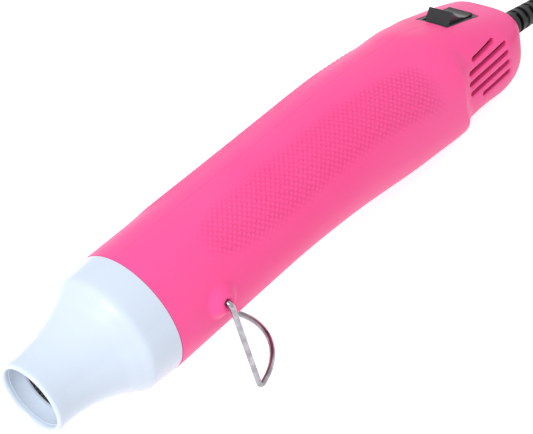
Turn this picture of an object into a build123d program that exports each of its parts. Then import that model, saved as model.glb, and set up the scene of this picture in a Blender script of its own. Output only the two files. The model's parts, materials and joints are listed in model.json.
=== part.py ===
# Embossing heat tool: a round pen-shaped hot air tool with a white outlet nozzle, a two-part
# moulded housing, a rocker switch, intake slots in the tail and a folding wire stand.
# The tool stands on the flat foot of its stand and on the rear lower corner of its housing.
from build123d import *
from math import asin, atan2, cos, degrees, hypot, pi, radians, sin, sqrt, tan
import os

os.makedirs("parts", exist_ok=True)

# General clearances, in millimetres
fit_gap = 0.03
seat_gap = 0.15
loose_gap = 0.3
cut_over = 5.0

# Housing shells
body_r = 23.0
wall = 2.2
rear_wall = 2.6
parting_gap = 0.06
nozzle_len = 44.1
round_len = 61.0
belly_len = 52.0
shoulder_len = 41.1
ridge_lean = 16.7
ridge_step_len = 2.4
tail_len = 42.6
tail_edge_r = 2.6
slope_drop = 17.4
slope_start = 189.0
slope_height = 20.0

# Wire stand and its bosses
wire_r = 1.0
hinge_x = 64.1
leg_y = 26.8
leg_len = 39.5
leg_end_y = 19.6
bend_r = 2.0
foot_bend_r = 1.8
foot_turn_in = 12.0
boss_r = 5.0
boss_round = 2.3
boss_deep = 3.6
boss_mouth_r = 2.0
boss_mouth_deep = 1.4
hinge_gap = 0.06

# Strain relief
relief_x = nozzle_len + round_len + belly_len + shoulder_len + tail_len + ridge_step_len
relief_drop = 12.4
relief_lean = 9.5
relief_len = 33.5
relief_r = 5.6
relief_end_r = 4.3
relief_core_r = 3.2
relief_neck_r = 4.1
relief_flange_r = 6.4
relief_flange_t = 1.6
relief_rib_count = 7
relief_gap_share = 0.46
relief_web = 3.4
relief_web_share = 0.90

# Tilt of the tool axis, from the height of the stand and the place of the rear lower corner
corner_deep = 30.3
corner_x = nozzle_len + round_len + belly_len + shoulder_len + corner_deep * sin(radians(ridge_lean))
stand_height = leg_len + wire_r
corner_reach = corner_x - hinge_x
tilt = asin(stand_height / hypot(corner_reach, corner_deep)) - atan2(corner_deep, corner_reach)
axis_dir = Vector(cos(tilt), 0, -sin(tilt))
up_dir = Vector(sin(tilt), 0, cos(tilt))

# Nozzle mouth values, needed for the length of the whole tool
mouth_r = 11.1
mouth_wall = 2.25
mouth_round = 1.1
rim_ahead = 0.9

# The origin lies under the middle of the tool, on the table
relief_slant = tilt + radians(relief_lean)
relief_root = axis_dir * relief_x - up_dir * relief_drop
relief_dir = Vector(cos(relief_slant), 0, -sin(relief_slant))
front_reach = -rim_ahead * cos(tilt) - (mouth_r + mouth_wall - mouth_round) * sin(tilt)
front_reach -= mouth_round * (1 - cos(tilt))
rear_reach = relief_root.X + relief_len * relief_dir.X + relief_end_r * sin(relief_slant)
tip_x = -(front_reach + rear_reach) / 2
tip = Vector(tip_x, 0, stand_height + hinge_x * sin(tilt))
hinge_point = tip + axis_dir * hinge_x
tool_axis = Axis(tip, axis_dir)
side = Plane(origin=tip, x_dir=axis_dir, z_dir=(0, -1, 0))


def at(x, y, z):
    """Point of the tool frame: x along the axis from the mouth, y across, z up from the axis."""
    return tip + axis_dir * x + Vector(0, y, 0) + up_dir * z


def station(x, lean=0.0):
    """Plane across the tool at x; its up direction leans towards the nozzle by lean degrees."""
    normal = axis_dir * cos(radians(lean)) + up_dir * sin(radians(lean))
    return Plane(origin=tip + axis_dir * x, x_dir=(0, 1, 0), z_dir=normal)


def side_at(y):
    """Plane parallel to the side view at y, with the tool frame's x and z as its own."""
    return Plane(origin=tip + Vector(0, y, 0), x_dir=axis_dir, z_dir=(0, -1, 0))


def slope_top(x, lean):
    """Height of the sloping top line above the axis, measured in a station plane."""
    fall = tan(radians(slope_drop))
    angle = radians(lean)
    return (slope_height - fall * (x - slope_start)) / (cos(angle) - fall * sin(angle))


def half_section(plane, half_width, top, bottom, squareness, inset=0.0):
    """Sketch of the near half of a rounded section, widest at mid height (a superellipse)."""
    width = half_width - inset
    middle = (top - bottom) / 2
    height = (top + bottom) / 2 - inset
    points = []
    for step in range(13):
        angle = pi / 2 + pi * step / 12
        reach = (abs(cos(angle)) / width) ** squareness + (abs(sin(angle)) / height) ** squareness
        reach = reach ** (-1 / squareness)
        points.append((reach * cos(angle), middle + reach * sin(angle)))
    with BuildSketch(plane) as section:
        with BuildLine():
            Spline(*points, tangents=((-1, 0), (1, 0)))
            Line(points[-1], points[0])
        make_face()
    return section.sketch


# Sections of the housing. Places are shares of the length that each stretch has, widths and
# heights are shares of the body radius, and the last value is the squareness of the section.
belly_shares = [
    (0.00, 1.000, 1.000, 1.000, 2.00),
    (0.24, 1.001, 0.999, 1.013, 2.00),
    (0.50, 1.003, 0.997, 1.057, 2.00),
    (0.76, 1.006, 0.990, 1.118, 2.03),
    (1.00, 1.009, 0.978, 1.174, 2.05),
]
shoulder_shares = [
    (0.00, 1.009, 0.978, 1.174, 2.05),
    (0.38, 1.013, 0.930, 1.235, 2.12),
    (0.74, 1.017, 0.873, 1.292, 2.25),
]
ridge_shares = (1.018, 1.318, 2.40)
tail_shares = [
    (0.00, 1.00, 0.952, 1.196, 2.50),
    (0.22, 0.62, 0.935, 1.160, 2.60),
    (0.46, 0.22, 0.876, 1.162, 2.80),
    (0.70, 0.00, 0.785, 1.188, 3.00),
    (0.88, 0.00, 0.706, 1.172, 3.10),
    (1.00, 0.00, 0.642, 1.132, 3.20),
]
tail_end_shares = (0.94, 0.00, 0.675, 1.152, 3.15)
belly_x = nozzle_len + round_len
shoulder_x = belly_x + belly_len
ridge_x = shoulder_x + shoulder_len
tail_x = ridge_x + ridge_step_len
rear_x = tail_x + tail_len


def ridge_sizes(share):
    """Section between the ridge (share 0) and the start of the narrower tail (share 1)."""
    x = ridge_x + ridge_step_len * share
    blend = share * share * (3 - 2 * share)
    first = tail_shares[0]
    sizes = []
    for start, end in zip(ridge_shares, (first[2], first[3], first[4])):
        sizes.append(start + (end - start) * blend)
    top = slope_top(x, ridge_lean)
    return station(x, ridge_lean), sizes[0] * body_r, top, sizes[1] * body_r, sizes[2]


def tail_sizes(row):
    """Section of the tail from one row of shares."""
    share, lean_share, width_share, bottom_share, squareness = row
    x = tail_x + tail_len * share
    lean = ridge_lean * lean_share
    return station(x, lean), width_share * body_r, slope_top(x, lean), bottom_share * body_r, squareness


def stretch(rows, start_x, length):
    """Upright sections along one stretch of the housing from rows of shares."""
    found = []
    for share, width_share, top_share, bottom_share, squareness in rows:
        plane = station(start_x + length * share)
        found.append((plane, width_share * body_r, top_share * body_r, bottom_share * body_r, squareness))
    return found


def housing_half(inset, rear_row):
    """Near half of the housing as one solid, inset all round by the given thickness."""
    ridge_rows = [ridge_sizes(step / 4) for step in range(5)]
    stretches = [
        stretch([belly_shares[0]], nozzle_len, round_len) + stretch([belly_shares[0]], belly_x, belly_len),
        stretch(belly_shares, belly_x, belly_len),
        stretch(shoulder_shares, shoulder_x, shoulder_len) + ridge_rows[:1],
        ridge_rows,
        [tail_sizes(row) for row in tail_shares if row[0] < rear_row[0]] + [tail_sizes(rear_row)],
    ]
    with BuildPart() as half:
        for rows in stretches:
            loft(sections=[half_section(*row, inset=inset) for row in rows])
    return half.part


# Rocker switch
switch_x = 220.6
switch_len = 20.75
switch_width = 14.7
switch_ledge = 1.4
switch_flange_t = 1.2
switch_sink = 0.2
switch_body_len = 19.2
switch_body_width = 13.0
switch_body_deep = 12.5
switch_wall_end = 0.9
switch_wall_side = 0.9
pivot_deep = 5.5
pin_r = 1.2
pin_len = 0.55
rocker_width = 10.8
rocker_top_len = 13.0
rocker_top = 8.2
rocker_low_len = 16.0
rocker_low = 1.8
rocker_hollow = 1.7
rocker_under = 2.0
rocker_under_len = 11.0
rocker_throw = 26.0
tab_len = 6.0
tab_width = 4.8
tab_t = 0.8
tab_spread = 5.0
switch_point = at(switch_x, 0, slope_top(switch_x, 0))
slope_dir = axis_dir * cos(radians(slope_drop)) - up_dir * sin(radians(slope_drop))
slope_up = up_dir * cos(radians(slope_drop)) + axis_dir * sin(radians(slope_drop))
switch_top = Plane(origin=switch_point, x_dir=slope_dir, z_dir=slope_up)
switch_side = Plane(origin=switch_point, x_dir=slope_dir, z_dir=(0, -1, 0))
pivot_point = switch_point - slope_up * pivot_deep

# Intake slots in each side of the tail: rows from the top, front and rear ends as shares
slot_width = 2.1
slot_pitch = 4.3
slot_top_z = 1.0
slot_end_shares = [(0.225, 0.590), (0.150, 0.745), (0.135, 0.745), (0.140, 0.750), (0.335, 0.755)]

# Barrel retainers, motor carrier ribs and screw posts inside the shells
collar_len = 8.0
collar_r = 20.5
collar_wall = 1.9
collar_root_len = 6.0
rib_t = 1.2
rib_sink = 0.4
barrel_r = 17.0
barrel_wall = 0.6
barrel_end_x = 93.5
barrel_flange_r = 20.2
barrel_flange_t = 1.2
carrier_x = 110.0
carrier_len = 14.0
carrier_r = 20.3
carrier_wall = 1.4
post_r = 3.0
sink_post_r = 3.8
pilot_r = 1.1
shank_r = 1.05
shank_hole_r = 1.4
head_r = 2.5
head_t = 1.8
head_seat_y = 6.0
head_hole_r = 2.9
screw_reach = 8.0
pilot_deep = 10.0
post_shares = [(0.525, -0.835), (0.665, 0.545), (0.755, -0.925), (0.915, -0.915)]

# Cord clamp inside the tail
cord_r = 2.6
clamp_x = 233.6
clamp_len = 3.8
clamp_t = 2.6
clamp_height = 19.0
clamp_screw_z = 6.4
saddle_height = 18.0


def post_places():
    """Axis and height of each housing screw, from shares of the body length and radius."""
    return [(nozzle_len + share * (rear_x - nozzle_len), height * body_r) for share, height in post_shares]


outer_half = housing_half(0.0, tail_shares[-1])
inner_half = housing_half(wall, tail_end_shares)
post_half = housing_half(wall - rib_sink, tail_end_shares)

# Half of the housing without what only one side has
with BuildPart() as shell_half:
    add(outer_half)
    rear_edges = shell_half.faces().sort_by(tool_axis)[-1].edges().filter_by(GeomType.BSPLINE)
    fillet(rear_edges, tail_edge_r)
    add(inner_half, mode=Mode.SUBTRACT)
    # Front collar that the nozzle slides over, and its root in the wall
    with BuildSketch(side):
        with BuildLine():
            Polyline(
                (nozzle_len - collar_len, collar_r - collar_wall),
                (nozzle_len - collar_len, collar_r),
                (nozzle_len, collar_r),
                (nozzle_len, body_r - wall + rib_sink),
                (nozzle_len + collar_root_len, body_r - wall + rib_sink),
                (nozzle_len + collar_root_len, collar_r - collar_wall),
                close=True,
            )
        make_face()
    revolve(axis=tool_axis)
    # Ribs that hold the barrel flange and the motor carrier
    rib_places = [
        (barrel_end_x - barrel_flange_t - seat_gap - rib_t, barrel_r + loose_gap),
        (barrel_end_x + seat_gap, barrel_r + loose_gap),
        (carrier_x - seat_gap - rib_t, carrier_r - carrier_wall),
        (carrier_x + carrier_len + seat_gap, carrier_r - carrier_wall),
    ]
    for rib_x, rib_hole_r in rib_places:
        with BuildPart(mode=Mode.PRIVATE) as rib:
            with BuildSketch(station(rib_x)):
                Circle(body_r * 2)
                Circle(rib_hole_r, mode=Mode.SUBTRACT)
            extrude(amount=rib_t)
            add(post_half, mode=Mode.INTERSECT)
        add(rib.part)
    # Boss for one end of the wire stand
    with BuildPart(mode=Mode.PRIVATE) as boss:
        boss_face_y = leg_y - wire_r - loose_gap
        boss_root = hinge_point - Vector(0, body_r - boss_deep, 0)
        with BuildSketch(Plane(origin=boss_root, x_dir=axis_dir, z_dir=(0, -1, 0))):
            Circle(boss_r)
        extrude(amount=boss_face_y - body_r + boss_deep)
        fillet(boss.faces().sort_by(Axis.Y)[0].edges(), boss_round)
    add(boss.part)
    hinge_face = Plane(origin=hinge_point - Vector(0, boss_face_y, 0), x_dir=axis_dir, z_dir=(0, -1, 0))
    with BuildSketch(hinge_face):
        Circle(wire_r + hinge_gap)
    extrude(amount=-(boss_face_y - body_r + boss_deep + cut_over), mode=Mode.SUBTRACT)
    with BuildSketch(hinge_face):
        Circle(boss_mouth_r)
    with BuildSketch(hinge_face.offset(-boss_mouth_deep)):
        Circle(wire_r + hinge_gap)
    loft(mode=Mode.SUBTRACT)
    # Switch opening with the ledge that its flange rests on
    with BuildSketch(switch_top.offset(-switch_ledge)):
        Rectangle(switch_len, switch_width)
    extrude(amount=cut_over, mode=Mode.SUBTRACT)
    with BuildSketch(switch_top.offset(-switch_ledge)):
        Rectangle(switch_body_len + 2 * loose_gap, switch_body_width + 2 * loose_gap)
    extrude(amount=-cut_over, mode=Mode.SUBTRACT)
    # Intake slots
    with BuildSketch(side_at(-cut_over)):
        for row, (front_share, end_share) in enumerate(slot_end_shares):
            front = tail_x + front_share * tail_len
            end = tail_x + end_share * tail_len
            with Locations(((front + end) / 2, slot_top_z - row * slot_pitch)):
                SlotOverall(end - front, slot_width)
    extrude(amount=body_r, mode=Mode.SUBTRACT)
    # Exit of the strain relief
    with BuildSketch(Plane(origin=tip + relief_root, x_dir=(0, 1, 0), z_dir=axis_dir)):
        Circle(relief_neck_r + seat_gap)
    extrude(amount=cut_over, both=True, mode=Mode.SUBTRACT)
    split(bisect_by=Plane.XZ.offset(parting_gap / 2), keep=Keep.TOP)

# Near shell with the screw posts and the saddle of the cord clamp
with BuildPart() as left_shell:
    add(shell_half.part)
    with BuildPart(mode=Mode.PRIVATE) as posts:
        with BuildSketch(side_at(-parting_gap / 2)):
            with Locations(*post_places()):
                Circle(post_r)
        extrude(amount=body_r * 2)
        with BuildSketch(side_at(-parting_gap / 2)):
            with Locations(*post_places()):
                Circle(pilot_r)
        extrude(amount=pilot_deep, mode=Mode.SUBTRACT)
        with BuildSketch(side_at(-cord_r - seat_gap)):
            with Locations((clamp_x + clamp_len / 2, -relief_drop)):
                Rectangle(clamp_len, saddle_height)
        extrude(amount=body_r * 2)
        with BuildSketch(side_at(-cord_r - seat_gap)):
            with Locations(
                (clamp_x + clamp_len / 2, clamp_screw_z - relief_drop),
                (clamp_x + clamp_len / 2, -clamp_screw_z - relief_drop),
            ):
                Circle(pilot_r)
        extrude(amount=pilot_deep, mode=Mode.SUBTRACT)
        add(post_half, mode=Mode.INTERSECT)
    add(posts.part)

# Far shell with the sunk posts that the screws enter
with BuildPart() as right_shell:
    mirror(shell_half.part, about=Plane.XZ)
    with BuildPart(mode=Mode.PRIVATE) as sunk_posts:
        with BuildSketch(side_at(parting_gap / 2)):
            with Locations(*post_places()):
                Circle(sink_post_r)
        extrude(amount=-body_r * 2)
        mirror(post_half, about=Plane.XZ, mode=Mode.INTERSECT)
    add(sunk_posts.part)
    with BuildSketch(side_at(0)):
        with Locations(*post_places()):
            Circle(shank_hole_r)
    extrude(amount=-body_r * 2, mode=Mode.SUBTRACT)
    with BuildSketch(side_at(head_seat_y)):
        with Locations(*post_places()):
            Circle(head_hole_r)
    extrude(amount=-body_r * 2, mode=Mode.SUBTRACT)

# Housing screws, driven from the far side
drive_len = 2.6
drive_t = 0.7
drive_deep = 1.0
with BuildPart() as shell_screws:
    with BuildSketch(side_at(head_seat_y)):
        with Locations(*post_places()):
            Circle(shank_r)
    extrude(amount=head_seat_y + screw_reach)
    with BuildSketch(side_at(head_seat_y)):
        with Locations(*post_places()):
            Circle(head_r)
    extrude(amount=-head_t)
    with BuildSketch(side_at(head_seat_y + head_t)):
        with Locations(*post_places()):
            Rectangle(drive_len, drive_t)
            Rectangle(drive_t, drive_len)
    extrude(amount=drive_deep, mode=Mode.SUBTRACT)

# Nozzle: shares of its length and of the body radius along the flared outside
nozzle_shares = [(0.10, 0.578), (0.25, 0.601), (0.40, 0.665), (0.55, 0.772), (0.66, 0.885)]
nozzle_brow = (32.6, 22.25)
nozzle_rear_r = 22.9
nozzle_wall = 1.9
nozzle_skirt_r = collar_r + seat_gap
mouth_x = 1.0
mouth_step = 0.15
mouth_land = 2.0
lip_x = 5.9
lip_r = 9.85
lip_t = 0.6
pocket_r = 10.9
pocket_len = 6.5
with BuildPart() as nozzle:
    with BuildSketch(side):
        with BuildLine():
            outer = [(share * nozzle_len, radius * body_r) for share, radius in nozzle_shares]
            lip_out = mouth_r + mouth_wall
            arc_drop = mouth_round * (1 - cos(pi / 4))
            crest = (-rim_ahead, lip_out - mouth_round)
            lip_rear = (mouth_round - rim_ahead, lip_out)
            ThreePointArc(crest, (arc_drop - rim_ahead, lip_out - arc_drop), lip_rear)
            Spline(lip_rear, *outer, nozzle_brow, tangents=((1, 0), (1, 0.42)))
            Line(nozzle_brow, (nozzle_len, nozzle_rear_r))
            Line((nozzle_len, nozzle_rear_r), (nozzle_len, nozzle_skirt_r))
            skirt_x = nozzle_len - collar_len - seat_gap
            Line((nozzle_len, nozzle_skirt_r), (skirt_x, nozzle_skirt_r))
            inner = [(share * nozzle_len, radius * body_r - nozzle_wall) for share, radius in nozzle_shares[2:]]
            inner_start = (lip_x + lip_t + pocket_len, pocket_r)
            Spline((skirt_x, nozzle_skirt_r), *reversed(inner), inner_start, tangents=((-1, -0.9), (-1, -0.15)))
            Line(inner_start, (lip_x + lip_t, pocket_r))
            Line((lip_x + lip_t, pocket_r), (lip_x + lip_t, lip_r))
            Line((lip_x + lip_t, lip_r), (lip_x, lip_r))
            Spline((lip_x, lip_r), (mouth_x + mouth_land, mouth_r), tangents=((-1, 0.8), (-1, 0)))
            Line((mouth_x + mouth_land, mouth_r), (mouth_x, mouth_r))
            Line((mouth_x, mouth_r), (mouth_x, mouth_r + mouth_step))
            Spline((mouth_x, mouth_r + mouth_step), crest, tangents=((-1, 0.1), (0, 1)))
        make_face()
    revolve(axis=tool_axis)

# Outlet guard: a thin disc of square mesh behind the lip of the nozzle
guard_r = pocket_r - seat_gap
guard_t = 0.5
mesh_pitch = 1.3
mesh_bar = 0.4
mesh_r = lip_r + mesh_bar
guard_x = lip_x + lip_t + seat_gap
mesh_cells = int(mesh_r / mesh_pitch)
mesh_places = []
for column in range(-mesh_cells, mesh_cells + 1):
    for line in range(-mesh_cells, mesh_cells + 1):
        if hypot(column, line) * mesh_pitch + mesh_pitch * 0.5 < mesh_r:
            mesh_places.append((column * mesh_pitch, line * mesh_pitch))
with BuildPart() as outlet_guard:
    with BuildSketch(station(guard_x)):
        Circle(guard_r)
        with Locations(*mesh_places):
            Rectangle(mesh_pitch - mesh_bar, mesh_pitch - mesh_bar, mode=Mode.SUBTRACT)
    extrude(amount=guard_t)

# Barrel: a drawn steel tube with a tapered outlet and a flange held by the shell ribs
neck_r = pocket_r - seat_gap
neck_len = 6.0
barrel_x = guard_x + guard_t + seat_gap
cone_end_x = 33.0
with BuildPart() as barrel_tube:
    with BuildSketch(side):
        with BuildLine():
            Polyline(
                (barrel_x, neck_r),
                (barrel_x + neck_len, neck_r),
                (cone_end_x, barrel_r),
                (barrel_end_x - barrel_flange_t, barrel_r),
                (barrel_end_x - barrel_flange_t, barrel_flange_r),
                (barrel_end_x, barrel_flange_r),
                (barrel_end_x, barrel_r - barrel_wall),
                (cone_end_x, barrel_r - barrel_wall),
                (barrel_x + neck_len, neck_r - barrel_wall),
                (barrel_x, neck_r - barrel_wall),
                close=True,
            )
        make_face()
    revolve(axis=tool_axis)

# Insulating sleeve between the barrel and the heating coil
sleeve_x = 35.0
sleeve_t = 0.7
sleeve_r = barrel_r - barrel_wall - seat_gap
sleeve_len = barrel_end_x - sleeve_x
with BuildPart() as mica_sleeve:
    with BuildSketch(station(sleeve_x)):
        Circle(sleeve_r)
        Circle(sleeve_r - sleeve_t, mode=Mode.SUBTRACT)
    extrude(amount=sleeve_len)

# Crossed mica boards that carry the heating coil in notches along their edges
board_t = 0.6
board_inset = 1.0
board_short = 2.0
board_x = sleeve_x + board_inset
board_len = sleeve_len - board_inset - board_short
board_half = sleeve_r - sleeve_t - seat_gap
coil_r = 13.0
coil_wire_r = 0.5
coil_pitch = 6.0
coil_turns = 8
coil_margin = 3.0
coil_x = board_x + coil_margin
notch_width = 2 * coil_wire_r + 4 * loose_gap
notch_floor = coil_r - coil_wire_r - seat_gap
board_gap = 0.05
board_slot_share = 0.25


def notch_places(quarter):
    """Places along the tool where the coil crosses a board edge, a quarter turn apart."""
    return [coil_x + coil_pitch * (turn + quarter / 4) for turn in range(coil_turns + 1)]


def mica_board(plane, first_quarter, second_quarter, slot_from_front):
    """One mica board with a half slot for the other board and coil notches on both edges."""
    with BuildPart() as board:
        with BuildSketch(plane):
            with Locations((board_x + board_len / 2, 0)):
                Rectangle(board_len, 2 * board_half)
            slot_x = board_x + board_len * (board_slot_share if slot_from_front else 1 - board_slot_share)
            with Locations((slot_x, 0)):
                Rectangle(board_len / 2 + 2 * board_gap, board_t + 2 * board_gap, mode=Mode.SUBTRACT)
            deep = board_half - notch_floor
            for edge, quarter in ((1, first_quarter), (-1, second_quarter)):
                for notch_x in notch_places(quarter):
                    if notch_x + notch_width < board_x + board_len:
                        with Locations((notch_x, edge * (notch_floor + deep))):
                            Rectangle(notch_width, 2 * deep, mode=Mode.SUBTRACT)
        extrude(amount=board_t / 2, both=True)
    return board


plan = Plane(origin=tip, x_dir=axis_dir, z_dir=up_dir)
mica_board_flat = mica_board(plan, 0, 2, True)
mica_board_upright = mica_board(side, 1, 3, False)


def turn_ends(plane_point, first_dir, second_dir, path_dir, places):
    """Half turns as arcs: each starts and ends on the first direction, and passes the second."""
    arcs = []
    for index in range(len(places) - 1):
        start_reach, start_rise = places[index]
        end_reach, end_rise = places[index + 1]
        sign = 1 if index % 2 == 0 else -1
        start = plane_point + first_dir * (sign * start_reach) + path_dir * start_rise
        end = plane_point - first_dir * (sign * end_reach) + path_dir * end_rise
        middle = (start + end) * 0.5 + second_dir * (sign * (end - start).length / 2)
        arcs.append((start, middle, end))
    return arcs


# Heating coil: resistance wire wound round the crossed boards
heat_places = [(coil_r, coil_x + coil_pitch * half / 2) for half in range(2 * coil_turns + 1)]
heat_arcs = turn_ends(tip, Vector(0, 1, 0), up_dir, axis_dir, heat_places)
with BuildPart() as heating_coil:
    with BuildLine() as heat_path:
        for start, middle, end in heat_arcs:
            ThreePointArc(start, middle, end)
    with BuildSketch(Plane(origin=heat_path.line @ 0, z_dir=heat_path.line % 0)):
        Circle(coil_wire_r)
    sweep()

# Thermal cut-out clipped on the flat mica board
cutout_r = 2.6
cutout_len = 9.0
cutout_x = 78.0
cutout_y = 6.5
cutout_pin_r = 0.5
cutout_pin_len = 3.0
with BuildPart() as thermal_cutout:
    cutout_plane = Plane(
        origin=at(cutout_x, cutout_y, board_t / 2 + seat_gap + cutout_r), x_dir=(0, 1, 0), z_dir=axis_dir
    )
    with BuildSketch(cutout_plane):
        Circle(cutout_r)
    extrude(amount=cutout_len)
    with BuildSketch(cutout_plane.offset(-cutout_pin_len)):
        Circle(cutout_pin_r)
    extrude(amount=cutout_len + 2 * cutout_pin_len)

# Fan on the front end of the motor shaft
shaft_r = 1.15
shaft_x = 98.6
fan_x = 99.4
fan_len = 8.0
fan_hub_r = 5.0
fan_r = 18.0
blade_count = 9
blade_t = 1.0
blade_pitch_angle = 38.0
blade_sink = 0.8
blade_inner_r = fan_hub_r - blade_sink
with BuildPart() as fan:
    with BuildSketch(station(fan_x)):
        Circle(fan_hub_r)
    extrude(amount=fan_len)
    fillet(fan.edges().sort_by(tool_axis)[0], fan_hub_r / 4)
    for blade in range(blade_count):
        turn = 2 * pi * blade / blade_count
        out_dir = Vector(0, 1, 0) * cos(turn) + up_dir * sin(turn)
        pitch_turn = radians(blade_pitch_angle)
        chord_dir = axis_dir * cos(pitch_turn) + out_dir.cross(axis_dir) * sin(pitch_turn)
        blade_root = tip + axis_dir * (fan_x + fan_len / 2) + out_dir * blade_inner_r
        blade_plane = Plane(origin=blade_root, x_dir=chord_dir, z_dir=out_dir)
        with BuildSketch(blade_plane):
            Rectangle(fan_len, blade_t)
        extrude(amount=fan_r - blade_inner_r, taper=0.6)
    with BuildSketch(station(fan_x - cut_over)):
        Circle(shaft_r)
    extrude(amount=fan_len + 2 * cut_over, mode=Mode.SUBTRACT)

# Motor: can, front and rear bushes, end cap, magnets, brushes
motor_x = 113.0
motor_len = 33.0
can_r = 13.9
can_wall = 0.9
can_nose_r = 4.0
can_nose_len = 2.2
bush_r = 3.0
bush_len = 3.0
shaft_gap = 0.04
plate_t = 1.6
plate_hole_r = can_nose_r + seat_gap
cup_wall = 1.8
cup_r = can_r + seat_gap + cup_wall
vane_count = 6
vane_t = 1.3
motor_screw_r = 8.0
motor_screw_hole_r = 1.4
motor_screw_shank_r = 1.25
motor_screw_head_r = 2.3
motor_screw_head_t = 1.2
with BuildPart() as motor_carrier:
    with BuildSketch(station(carrier_x)):
        Circle(carrier_r)
        Circle(carrier_r - carrier_wall, mode=Mode.SUBTRACT)
    extrude(amount=carrier_len)
    with BuildSketch(station(motor_x - plate_t)):
        Circle(cup_r)
    extrude(amount=carrier_x + carrier_len - motor_x + plate_t)
    with BuildSketch(station(motor_x)):
        Circle(can_r + seat_gap)
    extrude(amount=carrier_len, mode=Mode.SUBTRACT)
    with BuildSketch(station(motor_x - plate_t)):
        vane_len = carrier_r - carrier_wall / 2 - cup_r + cup_wall / 2
        with PolarLocations(cup_r - cup_wall / 2 + vane_len / 2, vane_count):
            Rectangle(vane_len, vane_t)
    extrude(amount=carrier_x + carrier_len - motor_x + plate_t)
    with BuildSketch(station(motor_x)):
        Circle(plate_hole_r)
        with PolarLocations(motor_screw_r, 2):
            Circle(motor_screw_hole_r)
    extrude(amount=-cut_over, mode=Mode.SUBTRACT)

with BuildPart() as motor_screws:
    with BuildSketch(station(motor_x + can_wall)):
        with PolarLocations(motor_screw_r, 2):
            Circle(motor_screw_shank_r)
    extrude(amount=-(plate_t + can_wall))
    with BuildSketch(station(motor_x - plate_t)):
        with PolarLocations(motor_screw_r, 2):
            Circle(motor_screw_head_r)
    extrude(amount=-motor_screw_head_t)

can_end_x = motor_x + motor_len
with BuildPart() as motor_can:
    with BuildSketch(side):
        with BuildLine():
            Polyline(
                (motor_x - can_nose_len, bush_r + fit_gap),
                (motor_x - can_nose_len, can_nose_r),
                (motor_x, can_nose_r),
                (motor_x, can_r),
                (can_end_x, can_r),
                (can_end_x, can_r - can_wall),
                (motor_x + can_wall, can_r - can_wall),
                (motor_x + can_wall, bush_r + fit_gap),
                close=True,
            )
        make_face()
    revolve(axis=tool_axis)
    with BuildSketch(station(motor_x - can_wall)):
        with PolarLocations(motor_screw_r, 2):
            Circle(motor_screw_shank_r + fit_gap)
    extrude(amount=3 * can_wall, mode=Mode.SUBTRACT)

# End cap closes the can and carries the rear bush, the brush posts and the terminals
cap_t = 3.0
cap_plug = 1.6
cap_nose_r = 4.2
cap_nose_len = 2.6
terminal_y = 8.6
terminal_width = 2.8
terminal_t = 0.6
terminal_len = 9.5
brush_len = 4.0
brush_width = 2.6
commutator_r = 3.1
commutator_len = 4.6
brush_gap = 0.08
brush_post_t = 1.4
cap_x = can_end_x - cap_plug
commutator_x = cap_x - commutator_len - loose_gap
brush_x = commutator_x + commutator_len / 2
with BuildPart() as motor_end_cap:
    with BuildSketch(station(cap_x)):
        Circle(can_r - can_wall - fit_gap)
    extrude(amount=cap_plug + cap_t)
    with BuildSketch(station(can_end_x + fit_gap)):
        Circle(can_r)
    extrude(amount=cap_t - fit_gap)
    with BuildSketch(station(can_end_x + cap_t)):
        Circle(cap_nose_r)
    extrude(amount=cap_nose_len)
    with BuildSketch(station(cap_x)):
        for sign in (-1, 1):
            post_y = sign * (commutator_r + brush_gap + brush_len + seat_gap + brush_post_t / 2)
            with Locations((post_y, 0)):
                Rectangle(brush_post_t, brush_width)
    extrude(amount=-(cap_x - commutator_x))
    with BuildSketch(station(cap_x - cut_over)):
        Circle(bush_r + fit_gap)
    extrude(amount=cap_plug + cap_t + cap_nose_len + 2 * cut_over, mode=Mode.SUBTRACT)
    with BuildSketch(station(cap_x - cut_over)):
        with Locations((terminal_y, 0), (-terminal_y, 0)):
            Rectangle(terminal_width + 2 * fit_gap, terminal_t + 2 * fit_gap)
    extrude(amount=cap_plug + cap_t + 2 * cut_over, mode=Mode.SUBTRACT)

with BuildPart() as motor_terminals:
    with BuildSketch(station(cap_x)):
        with Locations((terminal_y, 0), (-terminal_y, 0)):
            Rectangle(terminal_width, terminal_t)
    extrude(amount=cap_plug + cap_t + terminal_len)

with BuildPart() as motor_brushes:
    with BuildSketch(station(brush_x)):
        for sign in (-1, 1):
            with Locations((sign * (commutator_r + brush_gap + brush_len / 2), 0)):
                Rectangle(brush_len, brush_width)
    extrude(amount=brush_width / 2, both=True)


def shaft_bush(start_x):
    """Sintered bush that the motor shaft turns in."""
    with BuildPart() as bush:
        with BuildSketch(station(start_x)):
            Circle(bush_r)
            Circle(shaft_r + shaft_gap, mode=Mode.SUBTRACT)
        extrude(amount=bush_len)
    return bush


motor_bush_front = shaft_bush(motor_x - can_nose_len)
motor_bush_rear = shaft_bush(can_end_x + cap_t + cap_nose_len - bush_len)

magnet_inner_r = 10.5
magnet_inset = 4.0
magnet_gap = 0.5
magnet_x = motor_x + magnet_inset
magnet_len = commutator_x - magnet_gap - magnet_x
magnet_half_angle = 62.0
magnet_outer_r = can_r - can_wall - fit_gap
with BuildPart() as motor_magnets:
    with BuildSketch(station(magnet_x)):
        Circle(magnet_outer_r)
        Circle(magnet_inner_r, mode=Mode.SUBTRACT)
        gap_height = 2 * magnet_outer_r * cos(radians(magnet_half_angle))
        Rectangle(gap_height, 2 * magnet_outer_r, mode=Mode.SUBTRACT)
    extrude(amount=magnet_len)

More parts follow.
